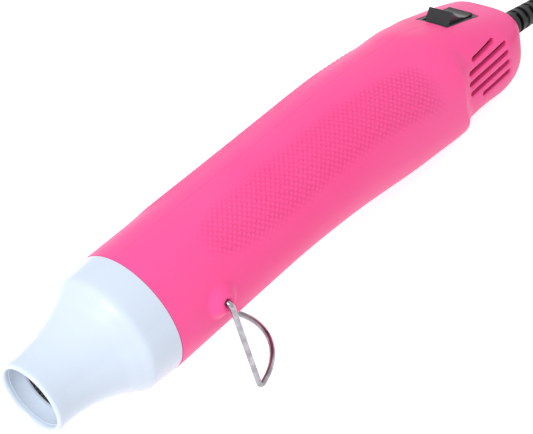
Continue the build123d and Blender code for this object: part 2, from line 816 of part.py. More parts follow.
# Rotor: shaft, three-pole core, windings and commutator
core_r = 9.9
core_hub_r = 3.4
core_inset = 2.0
core_len = magnet_len - 2 * core_inset
core_x = magnet_x + core_inset
pole_width = 3.4
pole_shoe_t = 2.0
pole_gap = 2.2
winding_t = 1.6
winding_len = core_len + 2 * winding_t
winding_depth = 3.2
shaft_end_gap = 1.0
shaft_len = can_end_x + cap_t + cap_nose_len - shaft_end_gap - shaft_x
with BuildPart() as motor_shaft:
    with BuildSketch(station(shaft_x)):
        Circle(shaft_r)
    extrude(amount=shaft_len)
    chamfer(motor_shaft.edges().group_by(tool_axis)[0], shaft_r / 4)

with BuildPart() as armature:
    with BuildSketch(station(core_x)):
        Circle(core_r)
        Circle(core_r - pole_shoe_t, mode=Mode.SUBTRACT)
        with PolarLocations(core_r - pole_shoe_t / 2, 3, start_angle=60):
            Rectangle(2 * pole_shoe_t, pole_gap, mode=Mode.SUBTRACT)
        with PolarLocations((core_r - pole_shoe_t / 2) / 2, 3):
            Rectangle(core_r - pole_shoe_t / 2, pole_width)
        Circle(core_hub_r)
        Circle(shaft_r + fit_gap, mode=Mode.SUBTRACT)
    extrude(amount=core_len)

with BuildPart() as armature_windings:
    with BuildSketch(station(core_x - winding_t)):
        with PolarLocations(core_hub_r + loose_gap + winding_depth / 2, 3):
            Rectangle(winding_depth, pole_width + 2 * (winding_t + fit_gap))
    extrude(amount=winding_len)
    with BuildSketch(station(core_x - fit_gap)):
        with PolarLocations(core_hub_r + loose_gap + winding_depth / 2, 3):
            Rectangle(winding_depth + loose_gap, pole_width + 2 * fit_gap)
    extrude(amount=core_len + 2 * fit_gap, mode=Mode.SUBTRACT)

segment_gap = 0.5
segment_deep = 0.6
with BuildPart() as commutator:
    with BuildSketch(station(commutator_x)):
        Circle(commutator_r)
        Circle(shaft_r + fit_gap, mode=Mode.SUBTRACT)
        with PolarLocations(commutator_r, 3, start_angle=30):
            Rectangle(2 * segment_deep, segment_gap, mode=Mode.SUBTRACT)
    extrude(amount=commutator_len)

# Rectifier board on the motor terminals, with its four diodes
pcb_gap = 1.4
pcb_x = can_end_x + cap_t + cap_nose_len + pcb_gap
pcb_t = 1.6
pcb_r = 12.0
diode_r = 1.35
diode_len = 5.2
diode_pitch = 4.4
with BuildPart() as rectifier_board:
    with BuildSketch(station(pcb_x)):
        Circle(pcb_r)
        with Locations((terminal_y, 0), (-terminal_y, 0)):
            Rectangle(terminal_width + 2 * fit_gap, terminal_t + 2 * fit_gap, mode=Mode.SUBTRACT)
    extrude(amount=pcb_t)

with BuildPart() as rectifier_diodes:
    for row in range(4):
        diode_z = (row - 1.5) * diode_pitch
        diode_plane = Plane(
            origin=at(pcb_x + pcb_t + seat_gap + diode_r, -diode_len / 2, diode_z),
            x_dir=axis_dir,
            z_dir=(0, 1, 0),
        )
        with BuildSketch(diode_plane):
            Circle(diode_r)
        extrude(amount=diode_len)

# Switch body with its flange, rocker pivot holes and terminals
with BuildPart() as switch_body:
    with BuildSketch(switch_top.offset(-switch_ledge + fit_gap)):
        Rectangle(switch_len - 2 * loose_gap, switch_width - 2 * loose_gap)
    extrude(amount=switch_flange_t)
    with BuildSketch(switch_top.offset(-switch_ledge + fit_gap)):
        Rectangle(switch_body_len, switch_body_width)
    extrude(amount=-switch_body_deep)
    top_edges = switch_body.faces().sort_by(Axis(switch_point, slope_up))[-1].edges()
    fillet(top_edges, switch_sink * 2)
    with BuildSketch(switch_top.offset(-switch_ledge - switch_body_deep + 2 * switch_wall_end)):
        Rectangle(switch_body_len - 2 * switch_wall_end, switch_body_width - 2 * switch_wall_side)
    extrude(amount=switch_body_deep + cut_over, mode=Mode.SUBTRACT)
    with BuildSketch(Plane(origin=pivot_point, x_dir=slope_dir, z_dir=(0, -1, 0))):
        Circle(pin_r + hinge_gap)
    extrude(amount=rocker_width / 2 + pin_len + seat_gap, both=True, mode=Mode.SUBTRACT)

with BuildPart() as switch_terminals:
    tab_top = switch_top.offset(-switch_ledge - switch_body_deep + fit_gap)
    with BuildSketch(tab_top):
        with Locations((tab_spread, 0), (-tab_spread, 0)):
            Rectangle(tab_t, tab_width)
    extrude(amount=-tab_len)

# Rocker: level outline with two hollow faces, turned to its pressed position
rest_turn = radians(rocker_throw / 2)
rocker_dir = slope_dir * cos(rest_turn) - slope_up * sin(rest_turn)
rocker_plane = Plane(origin=pivot_point, x_dir=rocker_dir, z_dir=(0, -1, 0))
with BuildPart() as rocker:
    with BuildSketch(rocker_plane):
        with BuildLine():
            face_mid = (rocker_top_len / 4, rocker_top - rocker_hollow * 0.85)
            ThreePointArc((rocker_top_len / 2, rocker_top), face_mid, (0, rocker_top - rocker_hollow))
            ThreePointArc(
                (0, rocker_top - rocker_hollow), (-face_mid[0], face_mid[1]), (-rocker_top_len / 2, rocker_top)
            )
            Polyline(
                (-rocker_top_len / 2, rocker_top),
                (-rocker_low_len / 2, rocker_low),
                (-rocker_under_len / 2, -rocker_under),
                (rocker_under_len / 2, -rocker_under),
                (rocker_low_len / 2, rocker_low),
                (rocker_top_len / 2, rocker_top),
            )
        make_face()
    extrude(amount=rocker_width / 2, both=True)
    with BuildSketch(rocker_plane):
        Circle(pin_r)
    extrude(amount=rocker_width / 2 + pin_len, both=True)

# Strain relief: flange and neck in the rear wall, then a drooping ribbed sleeve
relief_start = Plane(origin=tip + relief_root, x_dir=(0, 1, 0), z_dir=axis_dir)
relief_side = Plane(origin=tip + relief_root, x_dir=relief_dir, z_dir=(0, -1, 0))
relief_axis = Axis(tip + relief_root, relief_dir)
rib_pitch = (relief_len - relief_neck_r / 2) / relief_rib_count
rib_gap_len = rib_pitch * relief_gap_share
with BuildPart() as strain_relief:
    with BuildSketch(relief_start.offset(-rear_wall - seat_gap)):
        Circle(relief_flange_r)
    extrude(amount=-relief_flange_t)
    with BuildSketch(relief_start.offset(-rear_wall - seat_gap)):
        Circle(relief_neck_r)
    extrude(amount=rear_wall + seat_gap + relief_neck_r / 4)
    with BuildSketch(relief_side):
        with BuildLine():
            Polyline(
                (0, 0),
                (0, relief_core_r),
                (relief_len, relief_core_r * relief_end_r / relief_r),
                (relief_len, 0),
                close=True,
            )
        make_face()
        for rib in range(relief_rib_count):
            rib_end = relief_len - rib * rib_pitch
            rib_start = rib_end - rib_pitch + rib_gap_len
            slim = (relief_r - relief_end_r) / relief_len
            with BuildLine():
                Polyline(
                    (rib_start, 0),
                    (rib_start, relief_r - slim * rib_start),
                    (rib_end, relief_r - slim * rib_end),
                    (rib_end, 0),
                    close=True,
                )
            make_face()
    revolve(axis=relief_axis)
    # Webs join neighbouring ribs, turned a quarter from one gap to the next
    for rib in range(relief_rib_count - 1):
        gap_start = relief_len - (rib + 1) * rib_pitch
        web_reach = 2 * (relief_r - (relief_r - relief_end_r) * (gap_start + rib_gap_len) / relief_len)
        web_reach *= relief_web_share
        web_sizes = (web_reach, relief_web) if rib % 2 == 0 else (relief_web, web_reach)
        web_plane = Plane(
            origin=tip + relief_root + relief_dir * gap_start, x_dir=(0, 1, 0), z_dir=relief_dir
        )
        with BuildSketch(web_plane):
            Rectangle(*web_sizes)
        extrude(amount=rib_gap_len)

# Inner end of the cord, from the strain relief to just in front of the clamp
inner_cord_len = 9.0
inner_cord_x = clamp_x - inner_cord_len / 3
relief_inner_x = relief_x - rear_wall - seat_gap - relief_flange_t
with BuildPart() as inner_cord:
    with BuildSketch(Plane(origin=at(inner_cord_x, 0, -relief_drop), x_dir=(0, 1, 0), z_dir=axis_dir)):
        Circle(cord_r)
    extrude(amount=relief_inner_x - inner_cord_x)

with BuildPart() as cord_clamp:
    with BuildSketch(side_at(cord_r + seat_gap)):
        with Locations((clamp_x + clamp_len / 2, -relief_drop)):
            Rectangle(clamp_len, clamp_height)
    extrude(amount=-clamp_t)
    fillet(cord_clamp.edges().filter_by(Axis.Y), clamp_len / 4)
    with BuildSketch(side_at(cord_r)):
        with Locations(
            (clamp_x + clamp_len / 2, clamp_screw_z - relief_drop),
            (clamp_x + clamp_len / 2, -clamp_screw_z - relief_drop),
        ):
            Circle(shank_hole_r)
    extrude(amount=-clamp_t - cut_over, mode=Mode.SUBTRACT)

clamp_head_r = 1.8
with BuildPart() as clamp_screws:
    clamp_places = [
        (clamp_x + clamp_len / 2, clamp_screw_z - relief_drop),
        (clamp_x + clamp_len / 2, -clamp_screw_z - relief_drop),
    ]
    with BuildSketch(side_at(cord_r + seat_gap + clamp_t)):
        with Locations(*clamp_places):
            Circle(shank_r)
    extrude(amount=2 * cord_r + 2 * seat_gap + clamp_t + pilot_deep / 2)
    with BuildSketch(side_at(cord_r + seat_gap + clamp_t)):
        with Locations(*clamp_places):
            Circle(clamp_head_r)
    extrude(amount=-head_t)
    with BuildSketch(side_at(cord_r + seat_gap + clamp_t + head_t)):
        with Locations(*clamp_places):
            Rectangle(drive_len, drive_t)
            Rectangle(drive_t, drive_len)
    extrude(amount=drive_deep, mode=Mode.SUBTRACT)

# Insulated leads inside the housing
lead_r = 0.8


def lead(points, radius):
    """Insulated wire along straight runs with rounded corners."""
    with BuildPart() as wire:
        with BuildLine() as route:
            FilletPolyline(*points, radius=radius)
        with BuildSketch(Plane(origin=route.line @ 0, z_dir=route.line % 0)):
            Circle(lead_r)
        sweep()
    return wire


lead_turn_r = 2.5
lead_short_r = 1.5
lead_leave = 6.0
lead_far_leave = 8.0
lead_tab_drop = 5.0
lead_front_drop = 4.0
lead_end_gap = 0.2
lead_end_spread = 6.5
lead_end_z = -7.0
switched_turn_shares = [(0.808, -0.174, -0.391), (0.682, -0.174, -0.348)]
neutral_turn_shares = [(0.843, 0.217, -0.609), (0.682, 0.217, -0.435)]
tab_bottom = switch_ledge + switch_body_deep + tab_len
front_tab = switch_point - slope_dir * tab_spread - slope_up * tab_bottom
rear_tab = switch_point + slope_dir * tab_spread - slope_up * tab_bottom
lead_end_x = pcb_x + pcb_t + lead_r + lead_end_gap


def lead_turns(rows):
    """Turning points of a lead from shares of the housing's length and radius."""
    housing_len = rear_x - nozzle_len
    return [at(nozzle_len + share * housing_len, y * body_r, z * body_r) for share, y, z in rows]


live_lead = lead(
    [
        at(inner_cord_x, 0, -relief_drop + cord_r / 2),
        at(inner_cord_x - lead_leave, 0, -relief_drop + cord_r / 2),
        rear_tab - slope_up * lead_tab_drop,
        rear_tab - slope_up * fit_gap,
    ],
    lead_short_r,
)
switched_lead = lead(
    [
        front_tab - slope_up * fit_gap,
        front_tab - slope_up * lead_front_drop,
        *lead_turns(switched_turn_shares),
        at(lead_end_x, -lead_end_spread, lead_end_z),
    ],
    lead_turn_r,
)
neutral_lead = lead(
    [
        at(inner_cord_x, 0, -relief_drop - cord_r / 2),
        at(inner_cord_x - lead_far_leave, 0, -relief_drop - cord_r / 2),
        *lead_turns(neutral_turn_shares),
        at(lead_end_x, lead_end_spread, lead_end_z),
    ],
    lead_turn_r,
)
with BuildPart() as inner_leads:
    add(live_lead.part)
    add(switched_lead.part)
    add(neutral_lead.part)

# Wire stand: one bent wire, hooked into both bosses, with a flat foot loop on the table
foot_angle = radians(foot_turn_in)
foot_dir = Vector(cos(foot_angle), sin(foot_angle), 0)
foot_corner = Vector(hinge_point.X, -leg_y, wire_r)
foot_start = foot_corner + foot_dir * foot_bend_r
foot_bend_mid = foot_start + Vector(0, 0, foot_bend_r)
foot_bend_mid -= (foot_dir + Vector(0, 0, 1)) * (foot_bend_r * sqrt(0.5))
loop_r = -foot_start.Y / cos(foot_angle)
loop_apex = Vector(foot_start.X + loop_r * (1 - sin(foot_angle)), 0, wire_r)


def mirrored(point):
    """The same point on the far side of the tool."""
    return Vector(point.X, -point.Y, point.Z)


leg_foot = foot_corner + Vector(0, 0, foot_bend_r)
leg_head = Vector(hinge_point.X, -leg_y, hinge_point.Z - bend_r)
hook_start = Vector(hinge_point.X, -leg_y + bend_r, hinge_point.Z)
hook_end = Vector(hinge_point.X, -leg_end_y, hinge_point.Z)
hook_mid = Vector(
    hinge_point.X,
    -leg_y + bend_r * (1 - sqrt(0.5)),
    hinge_point.Z - bend_r * (1 - sqrt(0.5)),
)
with BuildPart() as wire_stand:
    with BuildLine() as stand_path:
        Line(hook_end, hook_start)
        ThreePointArc(hook_start, hook_mid, leg_head)
        Line(leg_head, leg_foot)
        ThreePointArc(leg_foot, foot_bend_mid, foot_start)
        ThreePointArc(foot_start, loop_apex, mirrored(foot_start))
        ThreePointArc(mirrored(foot_start), mirrored(foot_bend_mid), mirrored(leg_foot))
        Line(mirrored(leg_foot), mirrored(leg_head))
        ThreePointArc(mirrored(leg_head), mirrored(hook_mid), mirrored(hook_start))
        Line(mirrored(hook_start), mirrored(hook_end))
    with BuildSketch(Plane(origin=stand_path.line @ 0, z_dir=stand_path.line % 0)):
        Circle(wire_r)
    sweep()

# Supply cord: free stretch, put-away coil, tail and plug. Its route is in row coordinates
tie_t = 0.6
cord_lift = tie_t + seat_gap
cord_z = cord_r + cord_lift
relief_end = tip + relief_root + relief_dir * relief_len
coil_pitch_out = 6.0
coil_rise = 5.8
coil_outer = 38.0
coil_half_turns = 6
coil_step_in = 1.5
coil_step_out = 2.0
coil_stand_off = 76.0
cord_coil_x = relief_end.X + coil_stand_off
cord_coil_y = 0.0


def cord_tube(points, radii):
    """Round cord along straight runs joined by tangent arcs."""
    with BuildPart() as tube:
        with BuildLine() as route:
            FilletPolyline(*points, radius=radii)
        with BuildSketch(Plane(origin=route.line @ 0, z_dir=route.line % 0)):
            Circle(cord_r)
        sweep()
    return tube, sum(edge.length for edge in route.edges())


def corner_radii(points):
    """Radius at each corner: 0.45 of the shorter run over the tangent of half the turn."""
    radii = []
    for before, corner, after in zip(points, points[1:], points[2:]):
        first = Vector(corner) - Vector(before)
        second = Vector(after) - Vector(corner)
        half_turn = radians(first.get_angle(second)) / 2
        radii.append(0.45 * min(first.length, second.length) / tan(half_turn))
    return radii


free_points = [
    relief_end,
    relief_end + relief_dir * 9.0,
    Vector(relief_end.X + 22.6, 0.6, cord_z),
    Vector(relief_end.X + 35.2, 9.0, cord_z),
    Vector(relief_end.X + 44.4, 26.0, cord_z),
    Vector(relief_end.X + 64.4, coil_outer, cord_z),
    Vector(cord_coil_x, coil_outer, cord_z),
]
free_radii = corner_radii(free_points)
power_cord, free_len = cord_tube(free_points, free_radii)

coil_places = []
for half in range(coil_half_turns + 1):
    coil_places.append((coil_outer - half * coil_pitch_out / 2, 0))
coil_inner = coil_outer - coil_half_turns * coil_pitch_out / 2 - coil_step_in
coil_places.append((coil_inner, coil_rise))
for half in range(1, coil_half_turns + 1):
    coil_places.append((coil_inner + coil_step_out + half * coil_pitch_out / 2, coil_rise))
coil_centre = Vector(cord_coil_x, cord_coil_y, cord_z)
coil_arcs = turn_ends(coil_centre, Vector(0, 1, 0), Vector(1, 0, 0), Vector(0, 0, 1), coil_places)
with BuildPart() as cord_coil:
    with BuildLine() as coil_path:
        for start, middle, end in coil_arcs:
            ThreePointArc(start, middle, end)
    with BuildSketch(Plane(origin=coil_path.line @ 0, z_dir=coil_path.line % 0)):
        Circle(cord_r)
    sweep()
coil_len = sum(edge.length for edge in coil_path.edges())

plug_len = 26.0
plug_front_width = 21.0
plug_front_height = 12.4
plug_rear_width = 11.0
plug_rear_height = 9.0
plug_neck_len = 9.0
plug_neck_r = 3.9
blade_len = 16.5
blade_width = 6.3
blade_thick = 1.5
blade_spread = 12.7
plug_lift = 0.1
plug_shoulder_share = 0.55
plug_neck_share = 1.1
plug_z = plug_front_height / 2 + plug_lift
coil_leave = coil_arcs[-1][2]
plug_entry = Vector(coil_leave.X - 50.0, coil_leave.Y + 5.4, plug_z)
tail_points = [
    coil_leave,
    Vector(coil_leave.X - 12.0, coil_leave.Y, coil_leave.Z),
    Vector(coil_leave.X - 25.0, coil_leave.Y + 1.6, 7.7),
    Vector(coil_leave.X - 38.0, coil_leave.Y + 4.0, plug_z),
    plug_entry,
]
plug_dir = (tail_points[-1] - tail_points[-2]).normalized()
tail_radii = corner_radii(tail_points)
cord_tail, tail_cord_len = cord_tube(tail_points, tail_radii)

# Moulded plug with two flat blades
plug_plane = Plane(origin=plug_entry, x_dir=Vector(0, 0, 1).cross(plug_dir), z_dir=plug_dir)
with BuildPart() as plug_body:
    with BuildSketch(plug_plane):
        Circle(plug_neck_r)
    with BuildSketch(plug_plane.offset(plug_neck_len)):
        Circle(plug_neck_r * plug_neck_share)
    loft()
    with BuildSketch(plug_plane.offset(plug_neck_len)):
        RectangleRounded(plug_rear_width, plug_rear_height, plug_rear_height / 3)
    with BuildSketch(plug_plane.offset(plug_neck_len + plug_len * plug_shoulder_share)):
        RectangleRounded(plug_front_width, plug_front_height, plug_front_height / 3)
    loft()
    with BuildSketch(plug_plane.offset(plug_neck_len + plug_len * plug_shoulder_share)):
        RectangleRounded(plug_front_width, plug_front_height, plug_front_height / 3)
    extrude(amount=plug_len * (1 - plug_shoulder_share))
    fillet(plug_body.edges().sort_by(Axis(plug_entry, plug_dir))[-8:], plug_front_height / 8)

with BuildPart() as plug_blades:
    blade_plane = plug_plane.offset(plug_neck_len + plug_len)
    with BuildSketch(blade_plane):
        with Locations((blade_spread / 2, 0), (-blade_spread / 2, 0)):
            Rectangle(blade_thick, blade_width)
    extrude(amount=blade_len)
    blade_tips = plug_blades.faces().group_by(Axis(plug_entry, plug_dir))[-1].edges()
    chamfer(blade_tips, blade_thick / 4)

# Tie round all the turns of the coil, on the far side from the tool
tie_width = 9.0
tie_inner = coil_inner - cord_r - loose_gap
tie_outer = coil_places[-1][0] - coil_pitch_out / 4 + cord_r + loose_gap
tie_low = 0.0
tie_high = cord_z + coil_rise + cord_r + seat_gap + tie_t
with BuildPart() as cord_tie:
    tie_plane = Plane(
        origin=Vector(cord_coil_x, cord_coil_y, 0), x_dir=(1, 0, 0), z_dir=(0, -1, 0)
    )
    with BuildSketch(tie_plane):
        with Locations(((tie_inner + tie_outer) / 2, (tie_low + tie_high) / 2)):
            RectangleRounded(tie_outer - tie_inner + 2 * tie_t, tie_high - tie_low, cord_r)
            RectangleRounded(
                tie_outer - tie_inner, tie_high - tie_low - 2 * tie_t, cord_r - tie_t, mode=Mode.SUBTRACT
            )
    extrude(amount=tie_width / 2, both=True)

pieces = {
    "left_shell": left_shell,
    "right_shell": right_shell,
    "shell_screws": shell_screws,
    "nozzle": nozzle,
    "outlet_guard": outlet_guard,
    "barrel_tube": barrel_tube,
    "mica_sleeve": mica_sleeve,
    "mica_board_flat": mica_board_flat,
    "mica_board_upright": mica_board_upright,
    "heating_coil": heating_coil,
    "thermal_cutout": thermal_cutout,
    "motor_carrier": motor_carrier,
    "motor_screws": motor_screws,
    "motor_can": motor_can,
    "motor_end_cap": motor_end_cap,
    "motor_terminals": motor_terminals,
    "motor_brushes": motor_brushes,
    "motor_bush_front": motor_bush_front,
    "motor_bush_rear": motor_bush_rear,
    "motor_magnets": motor_magnets,
    "rectifier_board": rectifier_board,
    "rectifier_diodes": rectifier_diodes,
    "switch_body": switch_body,
    "switch_terminals": switch_terminals,
    "strain_relief": strain_relief,
    "inner_cord": inner_cord,
    "cord_clamp": cord_clamp,
    "clamp_screws": clamp_screws,
    "inner_leads": inner_leads,
    "fan": fan,
    "motor_shaft": motor_shaft,
    "armature": armature,
    "armature_windings": armature_windings,
    "commutator": commutator,
    "rocker": rocker,
    "wire_stand": wire_stand,
    "power_cord": power_cord,
    "cord_coil": cord_coil,
    "cord_tail": cord_tail,
    "cord_tie": cord_tie,
    "plug_body": plug_body,
    "plug_blades": plug_blades,
}
for name, piece in pieces.items():
    piece.part.label = name
    export_step(piece.part, f"parts/{name}.step")


def least_coil_gap():
    """Least free gap between turns of the cord coil, from points along its arcs."""
    samples = []
    for start, middle, end in coil_arcs:
        centre = (start + end) * 0.5
        across = start - centre
        over = middle - centre
        for step in range(24):
            angle = pi * step / 24
            samples.append(centre + across * cos(angle) + over * sin(angle))
    least = coil_outer
    for first in range(len(samples)):
        for second in range(first + 16, len(samples)):
            least = min(least, (samples[first] - samples[second]).length)
    return least - 2 * cord_r


print("tilt of the axis, degrees", round(degrees(tilt), 3))
print("mouth point", tip)
print("hinge point", hinge_point)
print("rocker pivot", pivot_point)
print("relief end", relief_end)
print("cord lengths: free, coil, tail", round(free_len, 1), round(coil_len, 1), round(tail_cord_len, 1))
print("radii of the free stretch", [round(radius, 1) for radius in free_radii])
print("radii of the tail", [round(radius, 1) for radius in tail_radii])
print("least gap between turns of the coil", round(least_coil_gap(), 2))
section = pi * cord_r * cord_r
print("cord volume over section times length", round(power_cord.part.volume / section / free_len, 4))
print("tail volume over section times length", round(cord_tail.part.volume / section / tail_cord_len, 4))
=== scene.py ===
import json

import bmesh
import bpy
import numpy as np
from mathutils import Matrix, Vector


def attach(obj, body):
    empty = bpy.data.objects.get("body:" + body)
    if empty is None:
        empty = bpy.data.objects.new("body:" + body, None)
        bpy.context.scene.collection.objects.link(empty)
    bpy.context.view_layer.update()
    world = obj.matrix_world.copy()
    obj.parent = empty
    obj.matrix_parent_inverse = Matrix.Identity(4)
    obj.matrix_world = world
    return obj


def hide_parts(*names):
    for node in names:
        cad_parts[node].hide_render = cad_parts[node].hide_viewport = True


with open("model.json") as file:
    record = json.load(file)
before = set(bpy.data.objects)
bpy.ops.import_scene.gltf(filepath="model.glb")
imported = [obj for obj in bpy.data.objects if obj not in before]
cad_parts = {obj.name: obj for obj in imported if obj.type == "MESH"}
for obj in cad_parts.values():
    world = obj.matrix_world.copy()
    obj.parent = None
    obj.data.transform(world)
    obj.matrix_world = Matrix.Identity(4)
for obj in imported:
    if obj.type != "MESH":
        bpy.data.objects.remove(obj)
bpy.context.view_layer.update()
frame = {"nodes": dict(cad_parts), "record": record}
nodes = frame["nodes"]


# Housing: two moulded shells of satin pink plastic that meet on the middle plane of the tool.
# They are round in front, deeper and flatter at the back, and drop at a ridge to a narrower tail
# with intake slots. Each has a knurled grip patch and a boss for the wire stand.
mm = 0.001
spin = next(joint for joint in frame["record"]["behaviour"]["joints"] if joint["name"] == "fan_spin")
fold = next(joint for joint in frame["record"]["behaviour"]["joints"] if joint["name"] == "stand_fold")
spin_x = 125.0
along = np.array(spin["axis"])
across = np.array([0.0, 1.0, 0.0])
upward = np.array([-along[2], 0.0, along[0]])
mouth_point = np.array(spin["pos_m"]) / mm - spin_x * along
tilt = np.arctan2(-along[2], along[0])
nozzle_len = 44.1
body_r = 23.0
wall = 2.2
rear_wall = 2.6
rear_x = 243.2
parting = 0.03
slope_angle = 17.4
slope_start = 189.0
slope_height = 20.0
edge_r = 2.6
edge_start = 25.0
grain_step = 0.42
# Place along the axis, half width, top, bottom, widest height, squareness above and below it
housing_rows = np.array([
    (44.1, 23.0, 23.0, 23.0, 0.0, 2.0, 2.0),
    (75.0, 22.95, 22.85, 23.0, 0.0, 2.0, 2.0),
    (105.0, 22.8, 22.5, 23.2, 0.0, 2.0, 2.0),
    (118.0, 22.86, 22.36, 23.85, -0.1, 2.0, 2.0),
    (131.0, 22.95, 22.3, 24.9, -0.4, 2.0, 2.0),
    (144.0, 23.07, 22.3, 26.2, -0.9, 2.0, 2.03),
    (157.0, 23.2, 22.15, 27.85, -1.9, 2.0, 2.1),
    (166.0, 23.25, 21.5, 28.85, -3.0, 2.0, 2.2),
    (174.6, 23.3, 20.6, 29.4, -4.0, 2.0, 2.3),
    (182.8, 23.4, 19.75, 29.85, -4.9, 1.98, 2.36),
    (189.0, 23.45, 19.25, 30.2, -5.6, 2.02, 2.42),
    (193.0, 23.45, 18.6, 30.4, -6.0, 2.1, 2.45),
    (196.2, 23.4, 17.75, 30.45, -6.3, 2.22, 2.45),
    (197.2, 23.22, 17.43, 30.35, -6.35, 2.27, 2.45),
    (198.6, 22.35, 17.0, 29.7, -6.4, 2.42, 2.5),
    (201.0, 20.95, 16.24, 28.5, -6.5, 2.68, 2.6),
    (203.5, 20.15, 15.46, 27.8, -6.5, 2.88, 2.7),
    (206.0, 20.05, 14.67, 27.3, -6.5, 3.0, 2.8),
    (210.0, 20.0, 13.42, 26.9, -6.5, 3.15, 2.9),
    (215.0, 20.0, 11.85, 26.8, -6.5, 3.1, 3.0),
    (222.0, 19.95, 9.66, 27.4, -6.5, 3.05, 3.05),
    (229.0, 19.8, 7.46, 27.9, -6.5, 3.05, 3.1),
    (235.0, 18.9, 5.58, 27.8, -6.5, 3.05, 3.1),
    (239.5, 17.5, 4.17, 27.4, -6.6, 3.05, 3.1),
    (241.7, 16.45, 3.48, 27.0, -6.7, 3.05, 3.1),
])
# The ridge runs level with the widest height and bends towards the rear above and below it
lean_places = [150.0, 192.0, 204.0, 228.0]
lean_shares = [0.0, 1.0, 1.0, 0.0]
lean_heights = [-32.0, -24.0, -16.0, -10.0, -4.0, 2.0, 8.0, 14.0]
lean_shifts = [6.5, 4.2, 1.7, 0.0, 0.7, 1.6, 1.0, 0.0]
slot_width = 2.1
# Height, front and end of each intake slot
slot_rows = [
    (3.2, 208.4, 223.7),
    (-1.1, 204.9, 229.5),
    (-5.4, 204.3, 230.0),
    (-9.7, 204.5, 230.1),
    (-14.0, 211.8, 230.0),
]
far_off = 99.0
slot_soft = 0.55
slot_dish = 0.4
knurl_pitch = 2.4
knurl_sharpness = 2.4
knurl_fade_angle = 13.0
knurl_fade_len = 10.0
knurl_height = 0.36
# Places along the axis, and degrees above the side, of the upper and the lower edge of the grip patch
knurl_upper = (
    [62.0, 70.0, 82.0, 125.0, 146.0, 162.0, 176.0, 186.0],
    [50.0, 60.0, 68.0, 69.0, 67.0, 64.0, 60.0, 54.0],
)
knurl_lower = (
    [62.0, 70.0, 76.0, 84.0, 108.0, 135.0, 162.0, 186.0],
    [42.0, 33.0, 27.0, 23.0, 19.0, 19.0, 15.0, 6.0],
)
knurl_ends = (64.0, 188.0)
lean_rounds = 4
# Share of a deeper pink painted into the knurl's grooves as shade
painted_groove_shade = 0.3
hinge_x = 64.1
boss_y = 25.5
boss_flat_r = 2.7
boss_foot_r = 7.0
boss_hole_r = 1.9
boss_hole_soft = 0.8
shell_sharp_angle = 40.0
shell_merge = 1e-6
boss_hole_deep = 0.9
seam_dish = 0.06
seam_soft = 0.25


def tool_points(x, y, z):
    """Points of the tool frame in metres: x along the axis from the mouth, y across, z up from it."""
    x, y, z = np.broadcast_arrays(*(np.asarray(value, dtype=float) for value in (x, y, z)))
    return (mouth_point + x[..., None] * along + y[..., None] * across + z[..., None] * upward) * mm


def smooth_between(places, values, at):
    """Values at the places asked for, on a curve of cubic pieces through the given ones. At each
    place the slope is the harmonic mean of its neighbours' slopes, and zero at a peak."""
    places, values = np.asarray(places, dtype=float), np.asarray(values, dtype=float)
    steps = np.diff(places)
    slopes = np.diff(values) / steps
    inner = np.where(
        slopes[:-1] * slopes[1:] > 0, 2 * slopes[:-1] * slopes[1:] / (slopes[:-1] + slopes[1:] + 1e-30), 0
    )
    grade = np.concatenate([slopes[:1], inner, slopes[-1:]])
    at = np.clip(at, places[0], places[-1])
    piece = np.clip(np.searchsorted(places, at, side="right") - 1, 0, len(steps) - 1)
    share = (at - places[piece]) / steps[piece]
    rise = share * share * (3 - 2 * share)
    start_grade = share * (1 - share) ** 2 * steps[piece]
    end_grade = share * share * (share - 1) * steps[piece]
    level = values[piece] + (values[piece + 1] - values[piece]) * rise
    return level + grade[piece] * start_grade + grade[piece + 1] * end_grade


def soft_step(value):
    """Zero below 0, one above 1, and a smooth rise between them."""
    value = np.clip(value, 0, 1)
    return value * value * (3 - 2 * value)


def mesh_piece(name, vertices, faces, material=None, smooth_angle=35.0, merge=1e-7):
    """Mesh object with doubles merged, faces pointing outwards and smooth but for sharper edges."""
    mesh = bpy.data.meshes.new(name)
    mesh.from_pydata(np.asarray(vertices).tolist(), [], faces)
    piece = bpy.data.objects.new(name, mesh)
    bpy.context.scene.collection.objects.link(piece)
    clean_mesh(piece, smooth_angle, merge)
    if material is not None:
        mesh.materials.append(material)
    return piece


def clean_mesh(piece, smooth_angle=35.0, merge=1e-7):
    """Merge doubles, point the faces outwards and shade smooth below the given angle."""
    work = bmesh.new()
    work.from_mesh(piece.data)
    bmesh.ops.remove_doubles(work, verts=work.verts, dist=merge)
    bmesh.ops.dissolve_degenerate(work, edges=work.edges, dist=merge)
    bmesh.ops.recalc_face_normals(work, faces=work.faces)
    work.to_mesh(piece.data)
    work.free()
    piece.data.shade_smooth()
    piece.data.set_sharp_from_angle(angle=np.radians(smooth_angle))
    piece.data.update()


def grid_faces(rows, columns, around=False, lengthwise=False, start=0):
    """Quads between neighbouring rows and columns of a grid of points, as lists of indices."""
    index = np.arange(rows * columns).reshape(rows, columns) + start
    if around:
        index = np.concatenate([index, index[:, :1]], axis=1)
    if lengthwise:
        index = np.concatenate([index, index[:1]], axis=0)
    corners = [index[:-1, :-1], index[1:, :-1], index[1:, 1:], index[:-1, 1:]]
    return np.stack(corners, axis=-1).reshape(-1, 4).tolist()


def turned(profile_x, profile_r, sides, centre=(0.0, 0.0)):
    """Grid of points of a profile turned about the tool axis, or about a line beside it."""
    angle = np.linspace(0, 2 * np.pi, sides, endpoint=False)
    x = np.asarray(profile_x, dtype=float)[:, None]
    r = np.asarray(profile_r, dtype=float)[:, None]
    return tool_points(x, centre[0] + r * np.cos(angle), centre[1] + r * np.sin(angle))


